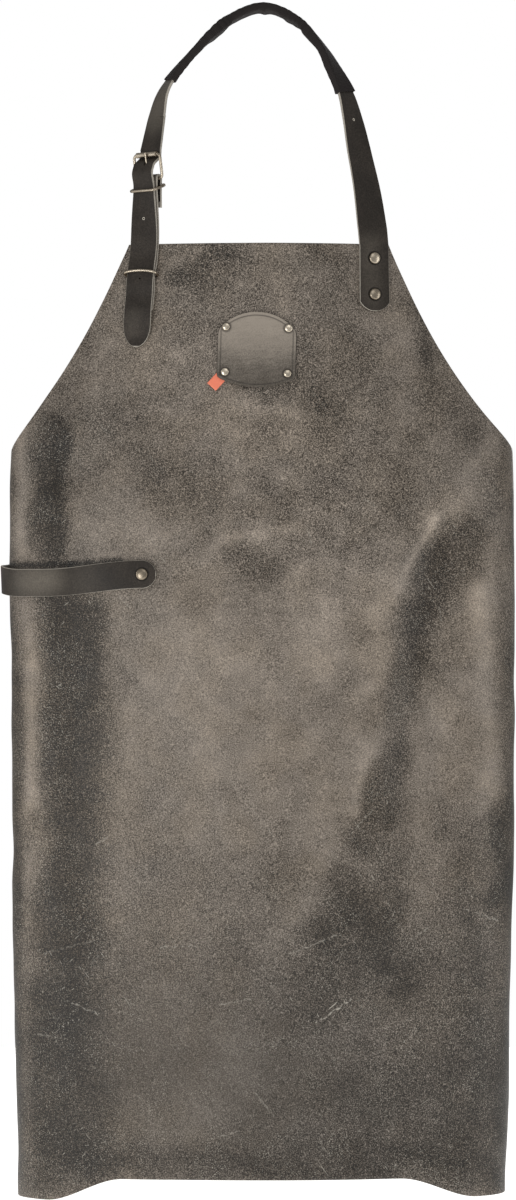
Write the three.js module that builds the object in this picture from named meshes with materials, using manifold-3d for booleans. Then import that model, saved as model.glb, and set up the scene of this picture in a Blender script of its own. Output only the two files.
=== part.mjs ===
// A leather work apron: one cut sheet for bib and skirt, a buckled neck strap with a textile sleeve,
// a strap loop round the left edge, a riveted patch and a small tab.
// Millimetres, +Z up, the front faces -Y. The origin is under the middle of the neck sleeve.
import * as THREE from "three";
import { mergeVertices } from "three/addons/utils/BufferGeometryUtils.js";
import Module from "manifold-3d";

const wasm = await Module();
wasm.setup();

// Walls and clearances.
const SHEET = 2;
const STRAP = 3;
const STRAP_WIDTH = 30;
const PATCH = 2;
const TAB = 1;
const GAP = 0.3;
const SEAT = 0.5;

// The cut of the sheet: distances across from its middle line, and drops below the bib's top edge.
const HALF_WIDTH = 310;
const BODY_LENGTH = 1004;
const ARMHOLE_DROP = 226;
const ARMHOLES = {
  left: { halfBib: 147, bendAcross: 247, bendDrop: 222 },
  right: { halfBib: 139.5, bendAcross: 228, bendDrop: 210 },
};
const HEM_DIP = { left: 24.5, right: 21, from: 150, to: 235 };
const HEM_CORNER = 22;

// The sheet's grid: columns lie closer together towards the sides, bib rows towards the top edge.
const SHEET_COLUMNS = 31;
const BIB_ROWS = 9;
const SKIRT_ROWS = 23;
const SIDE_CROWDING = 0.2;
const BIB_ROW_POWER = 1.25;

// The form the sheet hangs in.
const BIB_TOP_Z = -257;
const FRONT_Y = -90;
const BIB_LEAN = { back: 26, drop: 420 };
const HEM_TUCK = { back: 12, from: 560, to: 1000 };
const CHEST_RADIUS = 370;
const SKIRT_RADIUS = 1050;
const CHEST_DROP = 280;
const CURL_TURN = THREE.MathUtils.degToRad(98);
const CURL = { start: 212, lowStart: 176, from: 500, to: 1250 };
const BEND_STEPS = 36;

// Soft folds: a crest or a valley along a line, in the cut's own distances.
// reach is how far it spreads to each side, rise how far it stands out, below zero for a valley.
const FOLDS = [
  { across: 206, drop: 250, toAcross: 140, toDrop: 348, reach: 20, rise: 6 },
  { across: 138, drop: 352, toAcross: 122, toDrop: 570, reach: 30, rise: 5 },
  { across: 190, drop: 318, toAcross: 152, toDrop: 590, reach: 30, rise: -7 },
  { across: 226, drop: 380, toAcross: 208, toDrop: 700, reach: 34, rise: 5 },
  { across: -62, drop: 372, toAcross: 66, toDrop: 312, reach: 30, rise: -6 },
  { across: -204, drop: 240, toAcross: -190, toDrop: 700, reach: 36, rise: -5 },
  { across: -20, drop: 500, toAcross: 10, toDrop: 640, reach: 120, rise: 9 },
  { across: 112, drop: 650, toAcross: 20, toDrop: 880, reach: 60, rise: 5 },
  { across: 110, drop: 860, toAcross: 160, toDrop: 990, reach: 60, rise: -5 },
];

// The neck strap's free run from the right bib corner over the nape to the buckle.
// facing is the direction, in degrees from +X, in which the strap's outer edge points.
const NECK_RUN = [
  { x: 119, y: -46, z: -242, facing: 18 },
  { x: 113, y: -41, z: -198, facing: 25 },
  { x: 104.5, y: -36, z: -155, facing: 32 },
  { x: 98, y: -32, z: -122, facing: 45 },
  { x: 90, y: -29.5, z: -92, facing: 57 },
  { x: 77.5, y: -28, z: -66, facing: 68 },
  { x: 66, y: -24, z: -44, facing: 79 },
  { x: 39, y: -9, z: -12.5, facing: 88 },
  { x: 2, y: 0, z: 3.8, facing: 90 },
  { x: -37, y: -9, z: -11.5, facing: 91 },
  { x: -58, y: -20, z: -30, facing: 93 },
  { x: -79, y: -24, z: -53, facing: 99 },
  { x: -99.5, y: -26, z: -79, facing: 108 },
  { x: -108, y: -27, z: -95, facing: 114 },
  { x: -114, y: -29, z: -120.5, facing: 126 },
];
const SLEEVE_FROM = 4;
const SLEEVE_TO = 12;
const SLEEVE = { wall: 1.4, slack: 0.9, side: 1.5, bevel: 1.2, gathers: 8, gather: 0.7 };
const RUN_STEPS = 3;

// Right strap end on the bib.
const RIGHT_STRAP = { across: 123.5, drop: 73, endRadius: 19, leaves: 3 };
const RIGHT_RIVET_DROPS = [15.5, 55];
const RIGHT_HOLE_STATION = 3;

// Left strap: it leans by slope on the bib and by climb above it, where it also turns further outwards.
const LEFT_STRAP = { across: -126.6, slope: 0.085, climb: 0.044, extraTurn: 24, turnRise: 70, endDrop: 76 };
const STRAP_END = 7.5;
const HEEL_RISE = 70;
const LEFT_RIVET_DROPS = [13, 57];

// Wire roller buckle: heights above the heel bar, lifts in front of it.
const WIRE = 1.6;
const WIRE_SIDES = 6;
const ROUND_SIDES = 14;
const BUCKLE = { height: 26, lean: 4, corner: 4.5, side: 3, roller: 3, rollerLength: 30, steps: 32 };
const TONGUE = { radius: 1.2, ring: 1.5, overhang: 2.2, slant: 1.04, tipRise: 0.3, footLift: 1.2 };
const TONGUE_HOLE = { across: 4.2, depth: 16, up: 8.4 };
const TONGUE_SLOT = { across: 4.2, depth: 30, up: 22 };
const TAIL = 30;

// Wire keepers round the left strap's layers.
const KEEPER = { side: 2.6, corner: 3.5, slack: 1, steps: 24 };
const KEEPER_UPPER = { rise: -9, tilt: 20 };
const KEEPER_LOWER = { drop: 36, tilt: -14, hump: 18 };

// Free end of the neck strap: it bulges out below the roller, lies over the rivets and the lower keeper's
// hump, and comes down to the sheet at its tip. Rises are above the heel bar, drops below the bib's top edge.
const FREE_END = { drop: 112, point: 24, tipLift: 3.6, tipFrom: 68, tipFlat: 4, pointPower: 1.6 };
const FREE_BULGE = { lift: 3.5, rise: 6, reach: 9 };
const FREE_RISES = { overRoller: 33, underRoller: 25, atHeel: 6, heelEnd: -18, belowHeel: -16 };
const FREE_HUMP = { flat: 4, spread: 6 };
const PUNCHED = { radius: 1.5, risesFromHeel: [-43, -109] };

// Punches: their sides, and how far each reaches along its axis so that it goes through its own layers alone.
const PUNCH_SIDES = 8;
const PUNCH_REACH = { sheet: 14, leftStrap: 30, rightStrap: 20, loop: 24, neckRun: 14, freeEnd: 8 };

// Strap loop round the left edge of the sheet. The shares say how far along its run it has risen off the sheet,
// has sagged to its lowest, and on its way back begins to close up to the sheet again.
const LOOP = { across: -128, drop: 356, sag: 9, backSag: 1.8, stand: 9.8, back: 7, clear: 3 };
const LOOP_SHARES = { risen: 0.8, sagged: 0.7, closing: 0.3 };

// Rivets: domed caps in front, flat caps behind. The rim is the upright part of a dome's height.
const RIVET = { cap: 6.3, dome: 2.4, post: 2, backCap: 5, back: 1.2 };
const HIDDEN_RIVET = { cap: 5, dome: 1.4, post: 2, backCap: 5, back: 1.2 };
const PATCH_RIVET = { cap: 4.2, dome: 1.8, post: 1.3, backCap: 3.5, back: 1 };
const RIVET_SIDES = 10;
const RIVET_RIM = 0.25;

// Patch: straight sides, a steeply arched top and a flatter arched bottom, measured from the rivets' middle.
const PATCH_PLACE = { across: -5.5, drop: 114, turn: THREE.MathUtils.degToRad(-1.5) };
const PATCH_SIZE = { halfWidth: 42, top: 39.4, bottom: 42, narrowest: 4, shoulder: 5 };
const PATCH_ARCHES = { topRadius: 55, topDepth: 20, bottomRadius: 91, bottomDepth: 11 };
const PATCH_RIVET_AT = { across: 33.3, down: 24.4 };
const TAB_SIZE = { halfWidth: 6.2, out: 21.5, tucked: 6 };
const TAB_TURN = THREE.MathUtils.degToRad(-41);
const TAB_RAISE = { flat: 13, reach: 27 };

const MATERIALS = {
  sheetLeather: new THREE.MeshStandardMaterial({ color: 0x5f5850, roughness: 0.55 }),
  strapLeather: new THREE.MeshStandardMaterial({ color: 0x2c2926, roughness: 0.5 }),
  patchLeather: new THREE.MeshStandardMaterial({ color: 0x5a544d, roughness: 0.5 }),
  tabLeather: new THREE.MeshStandardMaterial({ color: 0xd8543c, roughness: 0.6 }),
  sleeveCloth: new THREE.MeshStandardMaterial({ color: 0x262322, roughness: 0.95 }),
  antiqueBrass: new THREE.MeshStandardMaterial({ color: 0x8f7f68, roughness: 0.35, metalness: 1 }),
};

const apron = new THREE.Group();
apron.name = "leather_apron";

const clamp01 = (t) => Math.min(1, Math.max(0, t));
const mix = (a, b, t) => a + (b - a) * t;

// Smooth step from 0 to 1 between two values.
function ease(value, from, to) {
  const t = clamp01((value - from) / (to - from));
  return t * t * (3 - 2 * t);
}

function addMesh(name, geometry, material, parent = apron) {
  const mesh = new THREE.Mesh(geometry, material);
  mesh.name = name;
  parent.add(mesh);
  return mesh;
}

// How far the sheet's surface has turned back at a distance across it.
function turnAt(across, drop) {
  const radius = mix(CHEST_RADIUS, SKIRT_RADIUS, ease(drop, 0, CHEST_DROP));
  const start = mix(CURL.start, CURL.lowStart, ease(drop, CURL.from, CURL.to));
  const into = clamp01((Math.abs(across) - start) / (HALF_WIDTH - start));
  return across / radius + Math.sign(across) * CURL_TURN * into ** 2;
}

// How far all the folds together stand out of the smooth form.
function foldAt(across, drop) {
  let rise = 0;
  for (const fold of FOLDS) {
    const from = new THREE.Vector2(fold.across, fold.drop);
    const along = new THREE.Vector2(fold.toAcross, fold.toDrop).sub(from);
    const here = new THREE.Vector2(across, drop).sub(from);
    const t = clamp01(here.dot(along) / along.lengthSq());
    const off = here.addScaledVector(along, -t).length() / fold.reach;
    rise += fold.rise * Math.exp(-off * off);
  }
  return rise;
}

// The middle of the sheet's wall at a place of the cut.
function sheetPoint(across, drop) {
  const step = across / BEND_STEPS;
  const lean = BIB_LEAN.back * (1 - ease(drop, 0, BIB_LEAN.drop));
  const tuck = HEM_TUCK.back * ease(drop, HEM_TUCK.from, HEM_TUCK.to);
  let x = 0;
  let y = FRONT_Y + lean + tuck;
  for (let i = 0; i < BEND_STEPS; i += 1) {
    const turn = turnAt((i + 0.5) * step, drop);
    x += Math.cos(turn) * step;
    y += Math.sin(turn) * step;
  }
  const turn = turnAt(across, drop);
  const rise = foldAt(across, drop);
  return new THREE.Vector3(x + Math.sin(turn) * rise, y - Math.cos(turn) * rise, BIB_TOP_Z - drop);
}

// The sheet's middle point with its directions across, down and out to the front.
function sheetFrame(across, drop) {
  const probe = 1;
  const acrossDir = sheetPoint(across + probe, drop).sub(sheetPoint(across - probe, drop)).normalize();
  const downDir = sheetPoint(across, drop + probe).sub(sheetPoint(across, drop - probe)).normalize();
  const normal = downDir.clone().cross(acrossDir).normalize();
  return { point: sheetPoint(across, drop), across: acrossDir, down: downDir, normal };
}

// A point lifted off the sheet's middle along its normal.
function onSheet(across, drop, lift) {
  const frame = sheetFrame(across, drop);
  return frame.point.clone().addScaledVector(frame.normal, lift);
}

// A closed wall. place(row, column) gives its middle point and normal; rows cross columns along the normal.
function wall(rows, columns, thickness, place) {
  const positions = [];
  const indices = [];
  for (const side of [0.5, -0.5]) {
    for (let i = 0; i < rows; i += 1) {
      for (let j = 0; j < columns; j += 1) {
        const { point, normal } = place(i, j);
        positions.push(...point.clone().addScaledVector(normal, side * thickness).toArray());
      }
    }
  }
  const front = (i, j) => i * columns + j;
  const back = (i, j) => rows * columns + front(i, j);
  const quad = (a, b, c, d) => indices.push(a, b, c, a, c, d);
  for (let i = 0; i + 1 < rows; i += 1) {
    for (let j = 0; j + 1 < columns; j += 1) {
      quad(front(i, j), front(i + 1, j), front(i + 1, j + 1), front(i, j + 1));
      quad(back(i, j), back(i, j + 1), back(i + 1, j + 1), back(i + 1, j));
    }
    quad(front(i, 0), back(i, 0), back(i + 1, 0), front(i + 1, 0));
    const last = columns - 1;
    quad(front(i, last), front(i + 1, last), back(i + 1, last), back(i, last));
  }
  for (let j = 0; j + 1 < columns; j += 1) {
    quad(front(0, j), front(0, j + 1), back(0, j + 1), back(0, j));
    const last = rows - 1;
    quad(front(last, j), back(last, j), back(last, j + 1), front(last, j + 1));
  }
  const geometry = new THREE.BufferGeometry();
  geometry.setAttribute("position", new THREE.Float32BufferAttribute(positions, 3));
  geometry.setIndex(indices);
  return geometry;
}

// Gives each station of a strap its direction, edge and face normal.
// A station has a centre point and the direction of its outer edge.
function withFrames(stations) {
  return stations.map((station, i) => {
    const before = stations[Math.max(0, i - 1)].point;
    const after = stations[Math.min(stations.length - 1, i + 1)].point;
    const along = after.clone().sub(before).normalize();
    const edge = station.edge.clone().addScaledVector(along, -station.edge.dot(along)).normalize();
    return { ...station, along, edge, normal: edge.clone().cross(along) };
  });
}

// A flat strap through its stations, each with its own half width.
function strapWall(stations) {
  const framed = withFrames(stations);
  return wall(framed.length, 2, STRAP, (i, j) => {
    const { point, edge, normal, halfWidth } = framed[i];
    const side = j === 0 ? halfWidth : -halfWidth;
    return { point: point.clone().addScaledVector(edge, side), normal };
  });
}

// Half width of a strap near its end: an arc or an ellipse that runs into the full width.
function endHalfWidth(fromEnd, length, radiusAcross) {
  const narrowest = 0.8;
  const into = clamp01(1 - fromEnd / length);
  const half = radiusAcross * Math.sqrt(1 - into * into);
  return Math.min(STRAP_WIDTH / 2, Math.max(narrowest, half));
}

// Stations between the given ones on a smooth curve, with the edge turning evenly.
function smoothStations(stations, steps) {
  const curve = new THREE.CatmullRomCurve3(stations.map((s) => s.point), false, "centripetal");
  const spans = stations.length - 1;
  const made = [];
  for (let k = 0; k <= spans * steps; k += 1) {
    const i = Math.min(spans - 1, Math.floor(k / steps));
    const edge = stations[i].edge.clone().lerp(stations[i + 1].edge, k / steps - i).normalize();
    made.push({ point: curve.getPoint(k / (spans * steps)), edge });
  }
  return made;
}

// Solid of a geometry for cutting and joining.
function solidOf(geometry) {
  const bare = geometry.clone();
  bare.deleteAttribute("normal");
  bare.deleteAttribute("uv");
  const merged = mergeVertices(bare, 1e-3);
  return new wasm.Manifold(
    new wasm.Mesh({
      numProp: 3,
      vertProperties: new Float32Array(merged.attributes.position.array),
      triVerts: new Uint32Array(merged.index.array),
    }),
  );
}

function geometryOf(solid) {
  const mesh = solid.getMesh();
  const geometry = new THREE.BufferGeometry();
  geometry.setAttribute("position", new THREE.BufferAttribute(mesh.vertProperties.slice(), 3));
  geometry.setIndex(new THREE.BufferAttribute(mesh.triVerts.slice(), 1));
  return geometry;
}

function cut(geometry, tools) {
  let solid = solidOf(geometry);
  for (const tool of tools) {
    solid = solid.subtract(solidOf(tool));
  }
  return geometryOf(solid);
}

// A round punch through a wall, along its normal.
function punch(point, normal, radius, length) {
  const turn = new THREE.Quaternion().setFromUnitVectors(new THREE.Vector3(0, 1, 0), normal);
  const hole = new THREE.CylinderGeometry(radius, radius, length, PUNCH_SIDES);
  return hole.applyQuaternion(turn).translate(point.x, point.y, point.z);
}

// One rivet along the normal. The stack runs from backLift to frontLift off the sheet's middle.
function addRivet(name, size, frame, frontLift, backLift) {
  const front = frontLift + SEAT;
  const back = backLift - SEAT;
  const profile = [new THREE.Vector2(0, back - size.back), new THREE.Vector2(size.backCap, back - size.back)];
  profile.push(new THREE.Vector2(size.backCap, back), new THREE.Vector2(size.post, back));
  profile.push(new THREE.Vector2(size.post, front), new THREE.Vector2(size.cap, front));
  const rim = RIVET_RIM * size.dome;
  const arcs = 3;
  for (let i = 0; i < arcs; i += 1) {
    const a = (i / arcs) * (Math.PI / 2);
    profile.push(new THREE.Vector2(size.cap * Math.cos(a), front + rim + (size.dome - rim) * Math.sin(a)));
  }
  profile.push(new THREE.Vector2(0, front + size.dome));
  const mesh = addMesh(name, new THREE.LatheGeometry(profile, RIVET_SIDES), MATERIALS.antiqueBrass);
  mesh.position.copy(frame.point);
  mesh.quaternion.setFromUnitVectors(new THREE.Vector3(0, 1, 0), frame.normal);
  return mesh;
}

// A hole for a rivet's post, in any wall on the same axis.
const rivetHole = (frame, size, length) => punch(frame.point, frame.normal, size.post + GAP, length);

// Places of the rivets that go through the sheet.
const strapLift = SHEET / 2 + SEAT + STRAP / 2;
const rightRivets = RIGHT_RIVET_DROPS.map((drop) => sheetFrame(RIGHT_STRAP.across, drop));
const leftRivets = LEFT_RIVET_DROPS.map((drop) => sheetFrame(leftAcross(drop), drop));
const loopRivet = sheetFrame(LOOP.across, LOOP.drop);
const patchCorners = [
  { name: "upper_left", across: -1, down: -1 },
  { name: "upper_right", across: 1, down: -1 },
  { name: "lower_left", across: -1, down: 1 },
  { name: "lower_right", across: 1, down: 1 },
];
const patchRivets = patchCorners.map((corner) =>
  patchFrame(corner.across * PATCH_RIVET_AT.across, corner.down * PATCH_RIVET_AT.down),
);

// Where the left strap's middle line lies on the sheet.
function leftAcross(drop) {
  return LEFT_STRAP.across - LEFT_STRAP.slope * drop;
}

// A place on the patch: its own distances turned into the sheet's.
function patchToSheet(across, down) {
  const c = Math.cos(PATCH_PLACE.turn);
  const s = Math.sin(PATCH_PLACE.turn);
  return {
    across: PATCH_PLACE.across + across * c + down * s,
    drop: PATCH_PLACE.drop + down * c - across * s,
  };
}

function patchFrame(across, down) {
  const place = patchToSheet(across, down);
  return sheetFrame(place.across, place.drop);
}

// The sheet: bib rows run from one armhole to the other, skirt rows down to the dipping hem.
function apronBody() {
  const armhole = ({ halfBib, bendAcross, bendDrop }) =>
    new THREE.QuadraticBezierCurve(
      new THREE.Vector2(halfBib, 0),
      new THREE.Vector2(bendAcross, bendDrop),
      new THREE.Vector2(HALF_WIDTH, ARMHOLE_DROP),
    );
  const leftCurve = armhole(ARMHOLES.left);
  const rightCurve = armhole(ARMHOLES.right);
  const hemDrop = (across) => {
    const depth = across < 0 ? HEM_DIP.left : HEM_DIP.right;
    const dip = depth * ease(Math.abs(across), HEM_DIP.from, HEM_DIP.to);
    const into = clamp01((Math.abs(across) - HALF_WIDTH + HEM_CORNER) / HEM_CORNER);
    return BODY_LENGTH + dip - HEM_CORNER * (1 - Math.sqrt(1 - into * into));
  };
  const body = wall(BIB_ROWS + SKIRT_ROWS, SHEET_COLUMNS, SHEET, (i, j) => {
    const even = (2 * j) / (SHEET_COLUMNS - 1) - 1;
    const side = mix(even, even ** 3, -SIDE_CROWDING);
    if (i < BIB_ROWS) {
      const share = (i / BIB_ROWS) ** BIB_ROW_POWER;
      const left = leftCurve.getPoint(share);
      const right = rightCurve.getPoint(share);
      return sheetFrame(side * (side < 0 ? left.x : right.x), mix(left.y, right.y, (side + 1) / 2));
    }
    const across = side * HALF_WIDTH;
    return sheetFrame(across, mix(ARMHOLE_DROP, hemDrop(across), (i - BIB_ROWS) / (SKIRT_ROWS - 1)));
  });
  const reach = PUNCH_REACH.sheet;
  const holes = [...rightRivets, ...leftRivets, loopRivet].map((frame) => rivetHole(frame, RIVET, reach));
  const patchHoles = patchRivets.map((frame) => rivetHole(frame, PATCH_RIVET, reach));
  return cut(body, [...holes, ...patchHoles]);
}

// The left strap's frame at a height above the heel bar. On the bib it is the sheet's own frame,
// and above it the strap goes on straight up while its face turns outwards.
function leftFrame(rise) {
  const drop = -HEEL_RISE - rise;
  if (drop >= 0) {
    const frame = sheetFrame(leftAcross(drop), drop);
    return { point: frame.point, edge: frame.across.negate(), normal: frame.normal };
  }
  const top = sheetFrame(leftAcross(0), 0);
  const climb = top.down.clone().multiplyScalar(drop / -top.down.z);
  const shift = top.across.clone().multiplyScalar(-LEFT_STRAP.climb * drop);
  const turn = THREE.MathUtils.degToRad(-LEFT_STRAP.extraTurn) * ease(-drop, 0, LEFT_STRAP.turnRise);
  const upright = new THREE.Vector3(0, 0, 1);
  return {
    point: top.point.clone().add(climb).add(shift),
    edge: top.across.clone().negate().applyAxisAngle(upright, turn),
    normal: top.normal.clone().applyAxisAngle(upright, turn),
  };
}

function leftStation(rise, lift, halfWidth = STRAP_WIDTH / 2) {
  const frame = leftFrame(rise);
  return { point: frame.point.clone().addScaledVector(frame.normal, lift), edge: frame.edge, halfWidth };
}

// A group whose x runs across the strap, y to the back and z up it, at a height above the heel bar.
function leftGroup(rise, lift) {
  const frame = leftFrame(rise);
  const across = frame.edge.clone().negate();
  const back = frame.normal.clone().negate();
  const up = across.clone().cross(back);
  const group = new THREE.Group();
  group.setRotationFromMatrix(new THREE.Matrix4().makeBasis(across, back, up));
  group.position.copy(frame.point).addScaledVector(frame.normal, lift);
  apron.add(group);
  return group;
}

// Lifts of the left strap's layers off the sheet's middle line, or off the heel bar's above the bib.
const riseOfDrop = (drop) => -HEEL_RISE - drop;
const heelWrap = WIRE + GAP + STRAP / 2;
const freeLift = heelWrap + STRAP + 2 * SEAT;
const overRivet = strapLift + STRAP + 2 * SEAT + HIDDEN_RIVET.dome;
const humpLift = strapLift + 2 * WIRE + SEAT;
const freeOverHump = humpLift + STRAP + SEAT;
const rollerLift = BUCKLE.lean;
const behindRoller = rollerLift - BUCKLE.roller - GAP - STRAP / 2;

// The buckle strap: up from its riveted end, a hump over the lower keeper, round the heel bar, and its tail.
function buckleStrap() {
  const stations = [];
  const endRows = 5;
  for (let i = 0; i <= endRows; i += 1) {
    const fromEnd = STRAP_END * (i / endRows) ** 2;
    const half = endHalfWidth(fromEnd, STRAP_END, STRAP_WIDTH / 2);
    stations.push(leftStation(riseOfDrop(LEFT_STRAP.endDrop - fromEnd), strapLift, half));
  }
  const humpRows = 12;
  const topDrop = 2;
  for (let i = 1; i <= humpRows; i += 1) {
    const drop = mix(LEFT_STRAP.endDrop - STRAP_END, topDrop, i / humpRows);
    const hump = 1 - ease(Math.abs(drop - KEEPER_LOWER.drop), 0, KEEPER_LOWER.hump);
    stations.push(leftStation(riseOfDrop(drop), mix(strapLift, humpLift, hump)));
  }
  const freeRows = 18;
  const wrapRise = -1;
  for (let i = 1; i <= freeRows; i += 1) {
    const t = i / freeRows;
    stations.push(leftStation(mix(riseOfDrop(topDrop), wrapRise, t), mix(strapLift, heelWrap, t)));
  }
  const heel = leftFrame(0);
  const up = heel.edge.clone().cross(heel.normal);
  const wrapRows = 8;
  for (let i = 0; i <= wrapRows; i += 1) {
    const a = (i / wrapRows) * Math.PI;
    const point = heel.point.clone().addScaledVector(heel.normal, heelWrap * Math.cos(a));
    point.addScaledVector(up, heelWrap * Math.sin(a));
    stations.push({ point, edge: heel.edge, halfWidth: STRAP_WIDTH / 2 });
  }
  const tailRows = 4;
  for (let i = 1; i <= tailRows; i += 1) {
    stations.push(leftStation((-TAIL * i) / tailRows, -heelWrap));
  }
  const slot = new THREE.BoxGeometry(TONGUE_SLOT.across, TONGUE_SLOT.depth, TONGUE_SLOT.up);
  const turn = new THREE.Matrix4().makeBasis(heel.edge.clone().negate(), heel.normal.clone().negate(), up);
  slot.applyMatrix4(turn).translate(heel.point.x, heel.point.y, heel.point.z);
  const holes = leftRivets.map((frame) => rivetHole(frame, HIDDEN_RIVET, PUNCH_REACH.leftStrap));
  return cut(strapWall(stations), [slot, ...holes]);
}

// The free end's lift at a height above the heel bar: in front of the heel, and behind the roller.
function freeEndLift(rise) {
  const drop = -HEEL_RISE - rise;
  const bulge = FREE_BULGE.lift * Math.exp(-(((rise - FREE_BULGE.rise) / FREE_BULGE.reach) ** 2));
  if (rise >= 0) {
    return bulge + mix(freeLift, behindRoller, ease(rise, FREE_RISES.atHeel, FREE_RISES.underRoller));
  }
  if (drop <= 0) {
    return bulge + mix(overRivet, freeLift, ease(rise, -HEEL_RISE, FREE_RISES.belowHeel));
  }
  const fromKeeper = Math.abs(drop - KEEPER_LOWER.drop);
  const hump = 1 - ease(fromKeeper, FREE_HUMP.flat, KEEPER_LOWER.hump + FREE_HUMP.spread);
  const lift = mix(overRivet, freeOverHump, hump);
  return mix(lift, FREE_END.tipLift, ease(drop, FREE_END.tipFrom, FREE_END.drop - FREE_END.tipFlat));
}

// The neck strap from the right rivets over the nape, through the buckle and down to its tip.
const neckRun = smoothStations(
  NECK_RUN.map((row) => {
    const facing = THREE.MathUtils.degToRad(row.facing);
    const edge = new THREE.Vector3(Math.cos(facing), Math.sin(facing), 0);
    return { point: new THREE.Vector3(row.x, row.y, row.z), edge };
  }),
  RUN_STEPS,
);

function neckStrap() {
  const stations = [];
  const endRows = 5;
  const arc = RIGHT_STRAP.endRadius - Math.sqrt(RIGHT_STRAP.endRadius ** 2 - (STRAP_WIDTH / 2) ** 2);
  const onBib = (drop, halfWidth) => {
    const frame = sheetFrame(RIGHT_STRAP.across, drop);
    const point = onSheet(RIGHT_STRAP.across, drop, strapLift);
    stations.push({ point, edge: frame.across, halfWidth });
  };
  for (let i = 0; i <= endRows; i += 1) {
    const fromEnd = arc * (i / endRows) ** 2;
    onBib(RIGHT_STRAP.drop - fromEnd, endHalfWidth(fromEnd, RIGHT_STRAP.endRadius, RIGHT_STRAP.endRadius));
  }
  const bibRows = 6;
  for (let i = 1; i <= bibRows; i += 1) {
    onBib(mix(RIGHT_STRAP.drop - arc, RIGHT_STRAP.leaves, i / bibRows), STRAP_WIDTH / 2);
  }
  for (const station of neckRun) {
    stations.push({ ...station, halfWidth: STRAP_WIDTH / 2 });
  }
  const buckleRows = 16;
  for (let i = 0; i <= buckleRows; i += 1) {
    const rise = mix(FREE_RISES.overRoller, FREE_RISES.heelEnd, i / buckleRows);
    stations.push(leftStation(rise, freeEndLift(rise)));
  }
  const twistRows = 13;
  for (let i = 1; i <= twistRows; i += 1) {
    const rise = mix(FREE_RISES.heelEnd, riseOfDrop(0), i / twistRows);
    stations.push(leftStation(rise, freeEndLift(rise)));
  }
  const flatRows = 12;
  for (let i = 1; i <= flatRows; i += 1) {
    const rise = riseOfDrop(mix(0, FREE_END.drop - FREE_END.point, i / flatRows));
    stations.push(leftStation(rise, freeEndLift(rise)));
  }
  const pointRows = 7;
  for (let i = 1; i <= pointRows; i += 1) {
    const fromTip = FREE_END.point * (1 - i / pointRows) ** FREE_END.pointPower;
    const rise = riseOfDrop(FREE_END.drop - fromTip);
    const half = endHalfWidth(fromTip, FREE_END.point, STRAP_WIDTH / 2);
    stations.push(leftStation(rise, freeEndLift(rise), half));
  }
  const holes = rightRivets.map((frame) => rivetHole(frame, RIVET, PUNCH_REACH.rightStrap));
  const framedRun = withFrames(neckRun);
  const spare = framedRun[RIGHT_HOLE_STATION * RUN_STEPS];
  holes.push(punch(spare.point, spare.normal, PUNCHED.radius, PUNCH_REACH.neckRun));
  for (const rise of PUNCHED.risesFromHeel) {
    const frame = leftFrame(rise);
    const point = frame.point.clone().addScaledVector(frame.normal, freeEndLift(rise));
    holes.push(punch(point, frame.normal, PUNCHED.radius, PUNCH_REACH.freeEnd));
  }
  holes.push(tongueHole());
  return cut(strapWall(stations), holes);
}

// Where the tongue comes through the strap on its way from the heel bar to the roller.
function tongueLine() {
  const clear = TONGUE.slant * (BUCKLE.roller + GAP + TONGUE.radius) + TONGUE.tipRise * TONGUE.overhang;
  const tip = { rise: BUCKLE.height + TONGUE.overhang, lift: rollerLift + clear };
  return { foot: { rise: WIRE + GAP + TONGUE.ring / 2, lift: TONGUE.footLift }, tip };
}

function tongueHole() {
  const { foot, tip } = tongueLine();
  let best = { miss: Infinity, rise: 0 };
  const steps = 100;
  for (let i = 0; i <= steps; i += 1) {
    const rise = mix(0, BUCKLE.height, i / steps);
    const lift = mix(foot.lift, tip.lift, (rise - foot.rise) / (tip.rise - foot.rise));
    const miss = Math.abs(lift - freeEndLift(rise));
    best = miss < best.miss ? { miss, rise } : best;
  }
  const frame = leftFrame(best.rise);
  const point = frame.point.clone().addScaledVector(frame.normal, freeEndLift(best.rise));
  const long = new THREE.BoxGeometry(TONGUE_HOLE.across, TONGUE_HOLE.depth, TONGUE_HOLE.up);
  const up = frame.edge.clone().cross(frame.normal);
  const turn = new THREE.Matrix4().makeBasis(frame.edge.clone().negate(), frame.normal.clone().negate(), up);
  long.applyMatrix4(turn);
  return long.translate(point.x, point.y, point.z);
}

// The eight corners of a flat tube's outline with bevelled edges.
function flatRing(half, thick, bevel) {
  const inset = half - bevel;
  const low = thick - bevel;
  return [
    { across: half, out: low },
    { across: inset, out: thick },
    { across: -inset, out: thick },
    { across: -half, out: low },
    { across: -half, out: -low },
    { across: -inset, out: -thick },
    { across: inset, out: -thick },
    { across: half, out: -low },
  ];
}

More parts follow.
